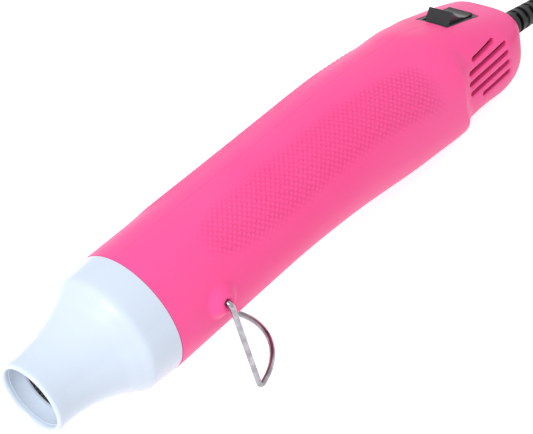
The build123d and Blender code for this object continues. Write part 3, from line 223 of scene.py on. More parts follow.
def housing_section(x, angle, inset):
    """Housing surface: in each section the reach from its widest height is that of a superellipse,
    with one height and squareness above and another below. The sections lean where the ridge does."""
    width, top, bottom, widest, above, below = (
        smooth_between(housing_rows[:, 0], housing_rows[:, column], x) for column in range(1, 7)
    )
    upper = np.sin(angle) >= 0
    height = np.where(upper, top - widest, bottom + widest) - inset
    squareness = np.where(upper, above, below)
    sideways = (np.abs(np.cos(angle)) / (width - inset)) ** squareness
    upwards = (np.abs(np.sin(angle)) / height) ** squareness
    reach = (sideways + upwards) ** (-1 / squareness)
    y = reach * np.cos(angle)
    z = widest + reach * np.sin(angle)
    lean = smooth_between(lean_places, lean_shares, x) * smooth_between(lean_heights, lean_shifts, z)
    return x + lean, y, z, widest


def knurl(x, angle):
    """Diamonds and patch: the lower of two slanting saw waves, cut level at the top, and a share
    that fades to nothing at the patch's edges, which are given by the angle above the side."""
    round_way = body_r * angle
    first = np.abs(((x + round_way) / knurl_pitch) % 1 * 2 - 1)
    second = np.abs(((x - round_way) / knurl_pitch) % 1 * 2 - 1)
    diamonds = np.minimum(1, knurl_sharpness * np.minimum(first, second))
    above_side = 180.0 - np.degrees(angle)
    inside = np.minimum(
        smooth_between(*knurl_upper, x) - above_side, above_side - smooth_between(*knurl_lower, x)
    )
    patch = soft_step(inside / knurl_fade_angle + 0.5)
    patch = patch * soft_step((x - knurl_ends[0]) / knurl_fade_len)
    patch = patch * soft_step((knurl_ends[1] - x) / knurl_fade_len)
    return diamonds, patch


def groove_shares(mesh):
    """Depth of the knurl's grooves at each point of a mesh, from zero on the plain surface to one; it sets
    where shade is painted on the plastic.
    A point's place before the lean is found by taking the lean off a few times."""
    places = np.empty(len(mesh.vertices) * 3)
    mesh.vertices.foreach_get("co", places)
    places = places.reshape(-1, 3) / mm - mouth_point
    x, y, z = places @ along, places @ across, places @ upward
    straight = x
    for _ in range(lean_rounds):
        share = smooth_between(lean_places, lean_shares, straight)
        straight = x - share * smooth_between(lean_heights, lean_shifts, z)
    widest = smooth_between(housing_rows[:, 0], housing_rows[:, 4], straight)
    diamonds, patch = knurl(straight, np.arctan2(z - widest, y) % (2 * np.pi))
    outside = np.hypot(y, z - widest) > body_r - wall / 2
    return (1 - diamonds) * patch * outside


def paint_shade_in_grooves(piece):
    """Keep the groove shares as an attribute that the plastic reads to paint shade into the knurl's
    grooves.
    """
    shares = groove_shares(piece.data)
    piece.data.attributes.new("groove", "FLOAT", "POINT")
    piece.data.attributes["groove"].data.foreach_set("value", shares)


def slot_distance(x, z):
    """Distance from the nearest intake slot, a round-ended line in the side view."""
    found = np.full(np.broadcast(x, z).shape, far_off)
    for height, front, end in slot_rows:
        nearest = np.clip(x, front + slot_width / 2, end - slot_width / 2)
        found = np.minimum(found, np.hypot(x - nearest, z - height) - slot_width / 2)
    return np.maximum(found, 0)


def housing_outside(x, angle, inset):
    """Outer surface with its knurl, boss, softened slot edges and the fine groove at the seam."""
    diamonds, patch = knurl(x, angle)
    raised = knurl_height * diamonds * patch
    x, y, z, widest = housing_section(x, angle, inset)
    y = y + raised * np.cos(angle)
    z = z + raised * np.sin(angle)
    boss = np.hypot(x - hinge_x, z)
    share = soft_step((boss_foot_r - boss) / (boss_foot_r - boss_flat_r))
    side = y < -body_r / 2
    hole = boss_hole_deep * soft_step((boss_hole_r - boss) / boss_hole_soft)
    y = np.where(side, y + (-boss_y - y) * share + hole, y)
    y = np.where(side, y + slot_dish * np.exp(-(slot_distance(x, z) / slot_soft) ** 2), y)
    dish = seam_dish * np.exp(-(y / seam_soft) ** 2)
    z = z - dish * np.sign(z - widest)
    return x, np.minimum(y, -parting), z


# The grid is fine where the knurl is and at the seam, and coarser in front and in the tail
seam_steps = np.array([0.0, 0.25, 0.55, 0.95, 1.4]) / body_r
top_angle = np.pi / 2
bottom_angle = 1.5 * np.pi
girth_share = 1.13
plain_end = 56.0
plain_rows = 13
fine_end = 186.0
tail_step = 0.6
column_count = int(np.pi * body_r * girth_share / grain_step)
middle_angles = np.linspace(top_angle + seam_steps[-1], bottom_angle - seam_steps[-1], column_count)
angles = np.concatenate([top_angle + seam_steps[:-1], middle_angles, bottom_angle - seam_steps[-2::-1]])
angles = angles[None, :]
row_places = np.concatenate([
    np.linspace(nozzle_len, plain_end, plain_rows)[:-1],
    np.arange(plain_end, fine_end, grain_step),
    np.arange(fine_end, housing_rows[-1, 0], tail_step),
])[:, None]
body_grid = np.stack(housing_outside(row_places, angles, 0.0), axis=-1)
# The rear edge is drawn in along an arc, and the rear face closes towards its middle
edge_steps = 8
face_shares = (0.8, 0.5, 0.0)
edge_angles = np.radians(np.linspace(edge_start, 90.0, edge_steps))
edge_insets = edge_r * (np.cos(edge_angles[0]) - np.cos(edge_angles))
edge_places = rear_x - edge_r * (1 - np.sin(edge_angles))
edge_rows = []
for place, inset in zip(edge_places, edge_insets):
    x, y, z, widest = housing_section(np.full((1, 1), housing_rows[-1, 0]), angles, inset)
    edge_rows.append(np.stack([np.full_like(y, place), np.minimum(y, -parting), z], axis=-1))
last = edge_rows[-1]
centre = np.array([rear_x, -parting, housing_rows[-1, 4]])
for share in face_shares:
    edge_rows.append(centre + (last - centre) * share)
outer_grid = np.concatenate([body_grid, *edge_rows], axis=0)
inner_row_count = 70
inner_column_count = 49
inner_places = np.linspace(nozzle_len, rear_x - rear_wall, inner_row_count)[:, None]
inner_angles = np.linspace(top_angle, bottom_angle, inner_column_count)[None, :]
x, y, z, widest = housing_section(inner_places, inner_angles, wall)
inner_grid = np.stack([x, np.minimum(y, -parting), z], axis=-1)
inner_centre = np.array([rear_x - rear_wall, -parting, housing_rows[-1, 4]])
end_shares = np.array([1.0, 0.0])[:, None, None]
inner_last = inner_centre + (inner_grid[-1:] - inner_centre) * end_shares
inner_last[..., 0] = rear_x - rear_wall
inner_grid = np.concatenate([inner_grid, inner_last], axis=0)


def shell_mesh(name, outer, inner, material):
    """Closed shell: outer and inner grid, a rim in front and one flat face along each seam."""
    rows, columns = outer.shape[:2]
    inner_rows, inner_columns = inner.shape[:2]
    first = rows * columns
    faces = grid_faces(rows, columns) + grid_faces(inner_rows, inner_columns, start=first)
    outer_index = np.arange(first).reshape(rows, columns)
    inner_index = np.arange(inner_rows * inner_columns).reshape(inner_rows, inner_columns) + first
    faces.append(outer_index[0].tolist() + inner_index[0, ::-1].tolist())
    faces.append(outer_index[:, 0].tolist() + inner_index[::-1, 0].tolist())
    faces.append(outer_index[:, -1].tolist() + inner_index[::-1, -1].tolist())
    points = np.concatenate([outer.reshape(-1, 3), inner.reshape(-1, 3)])
    return mesh_piece(name, tool_points(*points.T), faces, material, shell_sharp_angle, shell_merge)


def prism(outline, start, end, place):
    """Closed prism: vertices and faces of an outline carried from start to end."""
    count = len(outline)
    near = place(outline[:, 0], outline[:, 1], np.full(count, start))
    far = place(outline[:, 0], outline[:, 1], np.full(count, end))
    faces = [list(range(count)), list(range(2 * count - 1, count - 1, -1))]
    faces += [[i, (i + 1) % count, (i + 1) % count + count, i + count] for i in range(count)]
    return np.concatenate([near, far]), faces


def joined(prisms):
    """Vertices and faces of several closed forms as one list."""
    points, faces, start = [], [], 0
    for vertices, quads in prisms:
        points.append(vertices)
        faces += [[index + start for index in face] for face in quads]
        start += len(vertices)
    return np.concatenate(points), faces


def cut(piece, prisms, smooth_angle=shell_sharp_angle):
    """Cut closed forms out of a piece and keep the result as its mesh."""
    cutter = mesh_piece("cutter", *joined(prisms))
    change = piece.modifiers.new("cut", "BOOLEAN")
    change.operation = "DIFFERENCE"
    change.solver = "EXACT"
    change.object = cutter
    result = bpy.data.meshes.new_from_object(piece.evaluated_get(bpy.context.evaluated_depsgraph_get()))
    piece.modifiers.clear()
    old = piece.data
    piece.data = result
    result.name = old.name
    bpy.data.meshes.remove(old)
    bpy.data.meshes.remove(cutter.data)
    piece.data.shade_smooth()
    piece.data.set_sharp_from_angle(angle=np.radians(smooth_angle))


def side_view(x, z, y):
    """Outline in the side view, carried across the tool."""
    return tool_points(x, y, z)


def circle(count, r, centre=(0.0, 0.0)):
    """Points round a circle."""
    angle = np.linspace(0, 2 * np.pi, count, endpoint=False)
    return np.stack([centre[0] + r * np.cos(angle), centre[1] + r * np.sin(angle)], axis=-1)


def slot_outline(height, front, end):
    """Round-ended outline of one intake slot."""
    r = slot_width / 2
    bend = np.linspace(-np.pi / 2, np.pi / 2, 9)
    rear = np.stack([end - r + r * np.cos(bend), height + r * np.sin(bend)], axis=-1)
    fore = np.stack([front + r - r * np.cos(bend), height - r * np.sin(bend)], axis=-1)
    return np.concatenate([rear, fore])


# Switch place: the slope runs from its own point down towards the tail
switch_x = 220.6
switch_len = 20.75
switch_width = 14.7
switch_ledge = 1.4
body_open_len = 19.8
body_open_width = 13.6
body_open_deep = 8.0
body_open_over = 4.0
switch_over = 6.0
slope_turn = np.radians(slope_angle)
switch_z = slope_height - np.tan(slope_turn) * (switch_x - slope_start)


def slope_view(u, y, rise):
    """Points on the slope: u down the slope from the middle of the switch, rise square to it."""
    x = switch_x + u * np.cos(slope_turn) + rise * np.sin(slope_turn)
    z = switch_z - u * np.sin(slope_turn) + rise * np.cos(slope_turn)
    return tool_points(x, y, z)


def rectangle(length, width):
    """Corners of a rectangle about the origin."""
    return np.array([(-1, -1), (1, -1), (1, 1), (-1, 1)]) * np.array([length, width]) / 2


def pink_plastic():
    """Satin pink plastic: nearly even colour, a fine moulded grain, a soft gloss, and painted shade in the
    knurl's grooves.
    """
    material = bpy.data.materials.new("pink_plastic")
    material.use_nodes = True
    tree = material.node_tree
    shader = tree.nodes["Principled BSDF"]
    shader.inputs["Roughness"].default_value = 0.42
    shader.inputs["Specular IOR Level"].default_value = 0.26
    shader.inputs["Subsurface Weight"].default_value = 0.0
    colour_noise(tree, shader, (1.0, 0.076, 0.30), (1.0, 0.10, 0.345), 18.0)
    grain(tree, shader, 1400.0, 0.06)
    # Painted shade: the groove attribute mixes the base colour towards a deeper pink in the knurl's grooves
    groove = tree.nodes.new("ShaderNodeAttribute")
    groove.attribute_name = "groove"
    share = tree.nodes.new("ShaderNodeMath")
    share.operation = "MULTIPLY"
    share.inputs[1].default_value = painted_groove_shade
    tint = tree.nodes.new("ShaderNodeMix")
    tint.data_type = "RGBA"
    tint.inputs["B"].default_value = (0.62, 0.018, 0.15, 1.0)
    base = shader.inputs["Base Color"].links[0].from_socket
    tree.links.new(groove.outputs["Fac"], share.inputs[0])
    tree.links.new(share.outputs["Value"], tint.inputs["Factor"])
    tree.links.new(base, tint.inputs["A"])
    tree.links.new(tint.outputs["Result"], shader.inputs["Base Color"])
    return material


def colour_noise(tree, shader, dark, pale, scale, detail=3.0):
    """Base colour that drifts between two near shades, by noise on the piece's own place."""
    place = tree.nodes.new("ShaderNodeTexCoord")
    cloud = tree.nodes.new("ShaderNodeTexNoise")
    cloud.inputs["Scale"].default_value = scale
    cloud.inputs["Detail"].default_value = detail
    ramp = tree.nodes.new("ShaderNodeValToRGB")
    ramp.color_ramp.elements[0].position = 0.32
    ramp.color_ramp.elements[0].color = (*dark, 1.0)
    ramp.color_ramp.elements[1].position = 0.68
    ramp.color_ramp.elements[1].color = (*pale, 1.0)
    tree.links.new(place.outputs["Object"], cloud.inputs["Vector"])
    tree.links.new(cloud.outputs["Fac"], ramp.inputs["Fac"])
    tree.links.new(ramp.outputs["Color"], shader.inputs["Base Color"])


def grain(tree, shader, scale, strength, stretch=(1.0, 1.0, 1.0), depth=0.0002):
    """Fine surface grain as bump, drawn out along an axis where stretch is small."""
    place = tree.nodes.new("ShaderNodeTexCoord")
    mapping = tree.nodes.new("ShaderNodeMapping")
    mapping.inputs["Scale"].default_value = stretch
    speck = tree.nodes.new("ShaderNodeTexNoise")
    speck.inputs["Scale"].default_value = scale
    speck.inputs["Detail"].default_value = 2.0
    bump = tree.nodes.new("ShaderNodeBump")
    bump.inputs["Strength"].default_value = strength
    bump.inputs["Distance"].default_value = depth
    tree.links.new(place.outputs["Object"], mapping.inputs["Vector"])
    tree.links.new(mapping.outputs["Vector"], speck.inputs["Vector"])
    tree.links.new(speck.outputs["Fac"], bump.inputs["Height"])
    tree.links.new(bump.outputs["Normal"], shader.inputs["Normal"])


pink = pink_plastic()
near_shell = shell_mesh("near_shell", outer_grid, inner_grid, pink)
cut_deep = 8.0
cut_over = 3.0
slots = [prism(slot_outline(*row), -body_r + cut_deep, -body_r - cut_over, side_view) for row in slot_rows]
relief_z = -12.4
relief_hole_r = 4.25
relief_hole_sides = 32
exit_deep = 6.0
exit_over = 4.0
relief_hole = circle(relief_hole_sides, relief_hole_r, (0.0, relief_z))
exit_hole = prism(relief_hole, rear_x - exit_deep, rear_x + exit_over, lambda y, z, x: tool_points(x, y, z))
cut(near_shell, slots + [exit_hole])
body_open = rectangle(body_open_len, body_open_width)
switch_open = rectangle(switch_len, switch_width)
cut(near_shell, [prism(body_open, -body_open_deep, body_open_over, slope_view)])
cut(near_shell, [prism(switch_open, -switch_ledge, switch_over, slope_view)])
# Groove depths kept for the painted shade in the knurl's grooves
paint_shade_in_grooves(near_shell)

far_mesh = near_shell.data.copy()
places = np.empty(len(far_mesh.vertices) * 3)
far_mesh.vertices.foreach_get("co", places)
places = places.reshape(-1, 3) * np.array([1.0, -1.0, 1.0])
far_mesh.vertices.foreach_set("co", places.ravel())
far_mesh.flip_normals()
far_mesh.update()
far_shell = bpy.data.objects.new("far_shell", far_mesh)
bpy.context.scene.collection.objects.link(far_shell)

# Screws enter through four sunk holes in the far shell
screw_places = [(148.68, -19.2), (176.57, 12.54), (194.5, -21.28), (226.37, -21.05)]
screw_hole_r = 2.9
sleeve_r = 3.8
screw_sides = 28
screw_hole_start = 9.0
screw_hole_over = 5.0
sleeve_start = 8.0
sleeve_least_end = 9.5
widest_share = 0.995
least_share = 0.05
screw_holes = [
    prism(circle(screw_sides, screw_hole_r, place), screw_hole_start, body_r + screw_hole_over, side_view)
    for place in screw_places
]
cut(far_shell, screw_holes)
sleeves = []
for place_x, place_z in screw_places:
    width, top, bottom, widest, above, below = (
        float(smooth_between(housing_rows[:, 0], housing_rows[:, column], np.array([place_x]))[0])
        for column in range(1, 7)
    )
    height, squareness = (top - widest, above) if place_z > widest else (bottom + widest, below)
    deepest = min(abs(place_z - widest) + sleeve_r, height * widest_share)
    reach = width * max(least_share, 1 - (deepest / height) ** squareness) ** (1 / squareness)
    end = max(reach - wall / 2, sleeve_least_end)
    ring = [(sleeve_start, screw_hole_r), (end, screw_hole_r), (end, sleeve_r), (sleeve_start, sleeve_r)]
    angle = np.linspace(0, 2 * np.pi, screw_sides, endpoint=False)
    ring_y, ring_r = (np.array(values)[:, None] for values in zip(*ring))
    grid = tool_points(place_x + ring_r * np.cos(angle), ring_y, place_z + ring_r * np.sin(angle))
    sleeves.append((grid.reshape(-1, 3), grid_faces(len(ring), screw_sides, around=True, lengthwise=True)))
screw_sleeves = mesh_piece("screw_sleeves", *joined(sleeves), pink)
for piece in (near_shell, far_shell, screw_sleeves):
    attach(piece, "tool")
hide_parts("left_shell")
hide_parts("right_shell")


# Nozzle: a glossy white moulding that flares from a thick round lip to the width of the housing.
# Its skirt slides over the collars of both shells, and a lip inside holds the outlet guard.
rim_x = -0.9
mouth_r = 11.1
lip_out_r = 13.35
lip_round = 1.1
outer_places = [0.2, 4.41, 11.0, 17.6, 24.3, 29.1, 32.6, 38.0, 44.02]
outer_radii = [13.35, 13.29, 13.82, 15.3, 17.76, 20.36, 22.2, 22.57, 22.9]
lip_x = 5.9
lip_r = 9.85
lip_t = 0.6
pocket_r = 10.9
pocket_len = 6.5
nozzle_wall = 1.9
skirt_x = 35.95
skirt_r = 20.65
joint_round = 0.25
land_x = 1.0
step_front = 0.95
step_rear = 0.98
step_low = 0.04
step_high = 0.14
funnel_power = 0.9
nozzle_sides = 144


def nozzle_profile():
    """Closed outline: outer flare, joint edge, skirt, inner wall, guard lip, mouth and round rim."""
    places = np.linspace(outer_places[0], outer_places[-1] - joint_round, 60)
    outer = np.stack([places, smooth_between(outer_places, outer_radii, places)], axis=-1)
    bend = np.linspace(0, np.pi / 2, 5)
    end_r = outer_radii[-1]
    joint_x = outer_places[-1] - joint_round
    joint_r = end_r - joint_round
    joint = np.stack([joint_x + joint_round * np.sin(bend), joint_r + joint_round * np.cos(bend)], axis=-1)
    inner_places = np.linspace(skirt_x, lip_x + lip_t + pocket_len, 16)
    inner = np.stack([
        inner_places, smooth_between(
            [lip_x + lip_t + pocket_len, *outer_places[3:6], skirt_x],
            [pocket_r, *(r - nozzle_wall for r in outer_radii[3:6]), skirt_r], inner_places
        )
    ], axis=-1)
    lip = np.array([(lip_x + lip_t, pocket_r), (lip_x + lip_t, lip_r), (lip_x, lip_r)])
    funnel = np.linspace(0, 1, 12)[1:]
    wall_line = np.stack([
        lip_x + (land_x - lip_x) * funnel,
        lip_r + (mouth_r - lip_r) * np.sin(funnel * np.pi / 2) ** funnel_power
    ], axis=-1)
    step = np.array([(step_rear, mouth_r + step_low), (step_front, mouth_r + step_high)])
    crest_r = lip_out_r - lip_round
    sweep = np.linspace(np.pi / 2, 0, 10)[1:]
    flare = np.stack([
        step_front - (step_front - rim_x) * np.cos(sweep),
        crest_r - (crest_r - mouth_r - step_high) * np.sin(sweep)
    ], axis=-1)
    turn = np.linspace(0, np.pi / 2, 8)[1:]
    rim = np.stack([
        rim_x + lip_round * (1 - np.cos(turn)), crest_r + lip_round * np.sin(turn)
    ], axis=-1)
    return np.concatenate([
        outer, joint, [(outer_places[-1], skirt_r), (skirt_x, skirt_r)], inner[1:], lip, wall_line, step,
        flare, rim[:-1]
    ])


def white_plastic():
    """Glossy white plastic with a cool tint and a faint unevenness."""
    material = bpy.data.materials.new("white_plastic")
    material.use_nodes = True
    tree = material.node_tree
    shader = tree.nodes["Principled BSDF"]
    shader.inputs["Roughness"].default_value = 0.3
    shader.inputs["Coat Weight"].default_value = 0.25
    shader.inputs["Coat Roughness"].default_value = 0.15
    colour_noise(tree, shader, (0.60, 0.69, 0.82), (0.635, 0.72, 0.84), 12.0)
    grain(tree, shader, 500.0, 0.03)
    return material


profile = nozzle_profile()
nozzle = mesh_piece(
    "outlet_nozzle", turned(profile[:, 0], profile[:, 1], nozzle_sides).reshape(-1, 3),
    grid_faces(len(profile), nozzle_sides, around=True, lengthwise=True), white_plastic(), 50.0
)
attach(nozzle, "tool")
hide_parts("nozzle")


# Outlet guard: a disc of woven steel wire, darkened by the heat, that lies behind the nozzle lip.
# Its edge is pressed flat into a thin ring.
guard_x = lip_x + lip_t + 0.4
guard_r = 10.7
guard_wire_r = 0.17
guard_pitch = 1.0
guard_edge_gap = 0.1
guard_least = 0.5
wave_share = 1.1
wire_sides = 6
steps_per_mm = 8
least_steps = 5
ring_half_t = 0.35
ring_in_r = 9.6
ring_out_r = 10.75
ring_sides = 96


def tube(path, r, sides=8, flat_start=None):
    """Round tube along a path: in each place a circle square to it, on the normal carried along."""
    step = np.gradient(path, axis=0)
    step /= np.linalg.norm(step, axis=1, keepdims=True)
    first = np.cross(step[0], [0.0, 0.0, 1.0] if flat_start is None else flat_start)
    if np.linalg.norm(first) < 1e-3:
        first = np.cross(step[0], [0.0, 1.0, 0.0])
    normals = [first / np.linalg.norm(first)]
    for direction in step[1:]:
        normal = normals[-1] - direction * np.dot(normals[-1], direction)
        normals.append(normal / np.linalg.norm(normal))
    normals = np.array(normals)
    sideways = np.cross(step, normals)
    angle = np.linspace(0, 2 * np.pi, sides, endpoint=False)
    ring = normals[:, None] * np.cos(angle)[:, None] + sideways[:, None] * np.sin(angle)[:, None]
    grid = path[:, None] + ring * np.broadcast_to(np.asarray(r, dtype=float), len(path))[:, None, None]
    rows = len(path)
    faces = grid_faces(rows, sides, around=True)
    faces += [list(range(sides - 1, -1, -1)), list(range((rows - 1) * sides, rows * sides))]
    return grid.reshape(-1, 3), faces


def guard_wires():
    """Wires both ways, each a wave that passes over and under the ones that cross it."""
    wires = []
    count = int(guard_r / guard_pitch)
    for line in range(-count, count + 1):
        offset = line * guard_pitch
        half = np.sqrt(max(guard_r ** 2 - offset ** 2, guard_least)) - guard_edge_gap
        run = np.linspace(-half, half, max(least_steps, int(half * steps_per_mm)))
        wave = guard_wire_r * wave_share * np.cos(np.pi * (run / guard_pitch + line))
        wires.append(tube(tool_points(guard_x + wave, run, offset) / mm, guard_wire_r, wire_sides))
        wires.append(tube(tool_points(guard_x - wave, offset, run) / mm, guard_wire_r, wire_sides))
    return wires


def metal(name, dark, pale, roughness, scale=60.0, brush=None):
    """Metal with a drifting tone, and brushed or drawn marks where a stretch is given."""
    material = bpy.data.materials.new(name)
    material.use_nodes = True
    tree = material.node_tree
    shader = tree.nodes["Principled BSDF"]
    shader.inputs["Metallic"].default_value = 1.0
    shader.inputs["Roughness"].default_value = roughness
    colour_noise(tree, shader, dark, pale, scale)
    grain(tree, shader, 900.0, 0.08, brush or (1.0, 1.0, 1.0), 0.0001)
    return material


guard_metal = metal("heated_mesh", (0.05, 0.045, 0.05), (0.13, 0.115, 0.11), 0.5, 300.0)
wire_points, wire_faces = joined(guard_wires())
guard = mesh_piece("woven_guard", wire_points * mm, wire_faces, guard_metal)
ring_front = guard_x - ring_half_t
ring_rear = guard_x + ring_half_t
ring = np.array([
    (ring_front, ring_in_r), (ring_rear, ring_in_r), (ring_rear, ring_out_r), (ring_front, ring_out_r)
])
guard_ring = mesh_piece(
    "guard_ring", turned(ring[:, 0], ring[:, 1], ring_sides).reshape(-1, 3),
    grid_faces(len(ring), ring_sides, around=True, lengthwise=True), guard_metal
)
for piece in (guard, guard_ring):
    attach(piece, "tool")
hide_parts("outlet_guard")


# Wire stand: one length of bright plated steel wire. Its ends hook into the bosses, its legs run
# down both sides, and its foot is a round loop that lies flat on the table.
wire_r = 1.0
leg_y = 26.7
leg_end_y = 20.0
foot_lead = 40.0
hook_r = 2.2
foot_r = 2.0
foot_turn = np.radians(12.0)
hinge = np.array(fold["pos_m"]) / mm


def bend(start, corner, end, r, steps=9):
    """Points of a round bend at a corner: an arc that touches both straight runs."""
    first = (start - corner) / np.linalg.norm(start - corner)
    second = (end - corner) / np.linalg.norm(end - corner)
    half = np.arccos(np.clip(np.dot(first, second), -1, 1)) / 2
    middle = first + second
    middle /= np.linalg.norm(middle)
    centre = corner + middle * (r / np.sin(half))
    sweep = np.pi - 2 * half
    angle = np.linspace(-sweep / 2, sweep / 2, steps)[:, None]
    sideways = (second - first) / np.linalg.norm(second - first)
    return centre - middle * r * np.cos(angle) + sideways * r * np.sin(angle)


def stand_path():
    """Half of the wire from its end in the boss to the middle of the foot, then its mirror image."""
    top = hinge + np.array([0.0, -leg_y, 0.0])
    inner = hinge + np.array([0.0, -leg_end_y, 0.0])
    corner = np.array([hinge[0], -leg_y, wire_r])
    out = np.array([np.cos(foot_turn), np.sin(foot_turn), 0.0])
    loop_start = corner + out * foot_r
    loop_r = -loop_start[1] / np.cos(foot_turn)
    centre = np.array([loop_start[0] - loop_r * np.sin(foot_turn), 0.0, wire_r])
    hook = bend(inner, top, corner, hook_r)
    foot = bend(top, corner, corner + out * foot_lead, foot_r)
    leg = np.linspace(hook[-1], foot[0], 24)[1:-1]
    first = np.arctan2(loop_start[1], loop_start[0] - centre[0])
    angle = np.linspace(first, 0, 48)[1:, None]
    loop = centre + loop_r * np.concatenate([np.cos(angle), np.sin(angle), np.zeros_like(angle)], axis=1)
    half = np.concatenate([[inner], hook, leg, foot, loop])
    return np.concatenate([half, (half * np.array([1.0, -1.0, 1.0]))[-2::-1]])


stand_sides = 20
wire_points, wire_faces = tube(stand_path(), wire_r, stand_sides, [1.0, 0.0, 0.0])
bright_wire = metal("bright_wire", (0.22, 0.23, 0.25), (0.42, 0.43, 0.46), 0.22, 260.0)
stand = mesh_piece("wire_loop", wire_points * mm, wire_faces, bright_wire, 50.0)
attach(stand, "stand")
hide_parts("wire_stand")


# Rocker switch: a snap-in body and a rocker of hard black plastic, slightly shiny where fingers
# press it. Both keep their own solids.
def black_plastic(
    name, roughness, dark=(0.006, 0.0065, 0.008), pale=(0.012, 0.013, 0.016), grain_scale=900.0
):
    """Moulded black plastic with a soft gloss and fine grain."""
    material = bpy.data.materials.new(name)
    material.use_nodes = True
    tree = material.node_tree
    shader = tree.nodes["Principled BSDF"]
    shader.inputs["Roughness"].default_value = roughness
    colour_noise(tree, shader, dark, pale, 40.0)
    grain(tree, shader, grain_scale, 0.12)
    return material


def refinish(material, *names):
    """Give carried-over solids their own material."""
    for name in names:
        nodes[name].data.materials.clear()
        nodes[name].data.materials.append(material)


refinish(black_plastic("rocker_black", 0.26), "rocker")
refinish(black_plastic("switch_black", 0.4), "switch_body")


# Strain relief: a soft black sleeve moulded on the cord, cut into ribs so that it bends evenly.
# It keeps its own solid.
cord_black = black_plastic("cord_black", 0.5, (0.007, 0.0075, 0.009), (0.015, 0.016, 0.019), 1500.0)
refinish(cord_black, "strain_relief", "inner_cord")


# Supply cord: a round black jacket that leaves the sleeve, lies on the table and is wound into a
# tied coil just past the tail, with a moulded two-blade plug on its end.
cord_r = 2.6
cord_z = 3.35
relief_droop = 9.5
relief_len = 33.5
straight_len = 9.0
# Way back from the sleeve's end and way across of each point of the free stretch
free_places = [(22.6, 0.6), (35.2, 9.0), (44.4, 26.0), (64.4, 38.0)]
coil_stand_off = 76.0
relief_slant = tilt + np.radians(relief_droop)
relief_way = np.array([np.cos(relief_slant), 0.0, -np.sin(relief_slant)])
relief_end = tool_points(rear_x, 0.0, relief_z) / mm + relief_way * relief_len
exit_x = relief_end[0]
free_route = [relief_end, relief_end + relief_way * straight_len]
free_route += [(exit_x + away, y, cord_z) for away, y in free_places]
coil_x = exit_x + coil_stand_off
coil_y = 0.0
coil_rise = 5.8
coil_lower_halves = 6
coil_reaches = [38.0, 35.0, 32.0, 29.0, 26.0, 23.0, 20.0, 18.5, 23.5, 26.5, 29.5, 32.5, 35.5, 38.5]
coil_steps = 8
plug_z = 6.3


def coil_route():
    """Half turns of the coil, each about its own middle, so that the reach shrinks and grows again."""
    points = []
    for half, (start, end) in enumerate(zip(coil_reaches, coil_reaches[1:])):
        sign = 1 if half % 2 == 0 else -1
        start_rise = coil_rise if half > coil_lower_halves else 0.0
        end_rise = coil_rise if half >= coil_lower_halves else 0.0
        share = np.arange(coil_steps) / coil_steps
        angle = np.pi * share
        r = (start + end) / 2
        wide = r / np.cos(np.pi / coil_steps / 2)
        y = coil_y + sign * (start - end) / 2 + sign * wide * np.cos(angle)
        x = coil_x + sign * wide * np.sin(angle)
        z = cord_z + start_rise + (end_rise - start_rise) * share
        points.append(np.stack([x, y, z], axis=-1))
    return np.concatenate(points)


tail_start = (coil_x, coil_y - coil_reaches[-1], cord_z + coil_rise)
# Way forward from the coil's middle, way in towards it, and height of each point of the tail
tail_places = [
    (12.0, 0.0, cord_z + coil_rise),
    (25.0, 1.6, 7.7),
    (38.0, 4.0, plug_z),
    (50.0, 5.4, plug_z),
]
tail_route = [tail_start]
tail_route += [(coil_x - forward, tail_start[1] + inward, z) for forward, inward, z in tail_places]
coil_points = coil_route()
coil_points[0, 1] = coil_y + coil_reaches[0]
route = np.concatenate([np.array(free_route), coil_points, np.array(tail_route)]) * mm
cord_curve = bpy.data.curves.new("supply_cord", "CURVE")
cord_curve.dimensions = "3D"
cord_curve.bevel_depth = cord_r * mm
cord_curve.bevel_resolution = 5
cord_curve.use_fill_caps = True
cord_curve.resolution_u = 6
spline = cord_curve.splines.new("NURBS")
spline.points.add(len(route) - 1)
spline.points.foreach_set("co", np.concatenate([route, np.ones((len(route), 1))], axis=1).ravel())
spline.order_u = 3
spline.use_endpoint_u = True
cord_curve.materials.append(cord_black)
supply_cord = bpy.data.objects.new("supply_cord", cord_curve)
bpy.context.scene.collection.objects.link(supply_cord)
tie_black = black_plastic("tie_black", 0.45)
refinish(tie_black, "cord_tie")
refinish(cord_black, "plug_body")
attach(supply_cord, "tool")
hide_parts("power_cord", "cord_coil", "cord_tail")


# Inner pieces: barrel, mica boards and heating coil in front, fan and motor behind them, and the
# board, leads and clamp in the tail. They keep their own solids, each in its own finish.
def plain_matter(name, dark, pale, roughness, scale=80.0, strength=0.15):
    """Dull matter such as mica, ferrite or moulded board, with speckle and fine grain."""
    material = bpy.data.materials.new(name)
    material.use_nodes = True
    tree = material.node_tree
    shader = tree.nodes["Principled BSDF"]
    shader.inputs["Roughness"].default_value = roughness
    colour_noise(tree, shader, dark, pale, scale, 5.0)
    grain(tree, shader, 700.0, strength)
    return material


steel = metal("plated_steel", (0.46, 0.46, 0.47), (0.62, 0.62, 0.63), 0.34, 70.0, (1.0, 0.1, 1.0))
barrel_steel = metal("heated_barrel", (0.36, 0.30, 0.25), (0.55, 0.52, 0.50), 0.36, 25.0, (0.1, 1.0, 1.0))
heat_wire = metal("heating_wire", (0.22, 0.19, 0.17), (0.38, 0.33, 0.30), 0.45, 120.0)
brass = metal("brass", (0.66, 0.47, 0.18), (0.80, 0.60, 0.26), 0.3, 90.0)
copper = metal("copper", (0.62, 0.25, 0.13), (0.78, 0.38, 0.22), 0.32, 140.0, (1.0, 1.0, 0.1))
mica = plain_matter("pressed_mica", (0.40, 0.36, 0.28), (0.58, 0.53, 0.43), 0.5, 300.0)
ferrite = plain_matter("ferrite", (0.05, 0.05, 0.055), (0.09, 0.09, 0.10), 0.7, 400.0)
green_board = plain_matter("coated_board", (0.02, 0.16, 0.06), (0.04, 0.24, 0.10), 0.35, 200.0, 0.05)
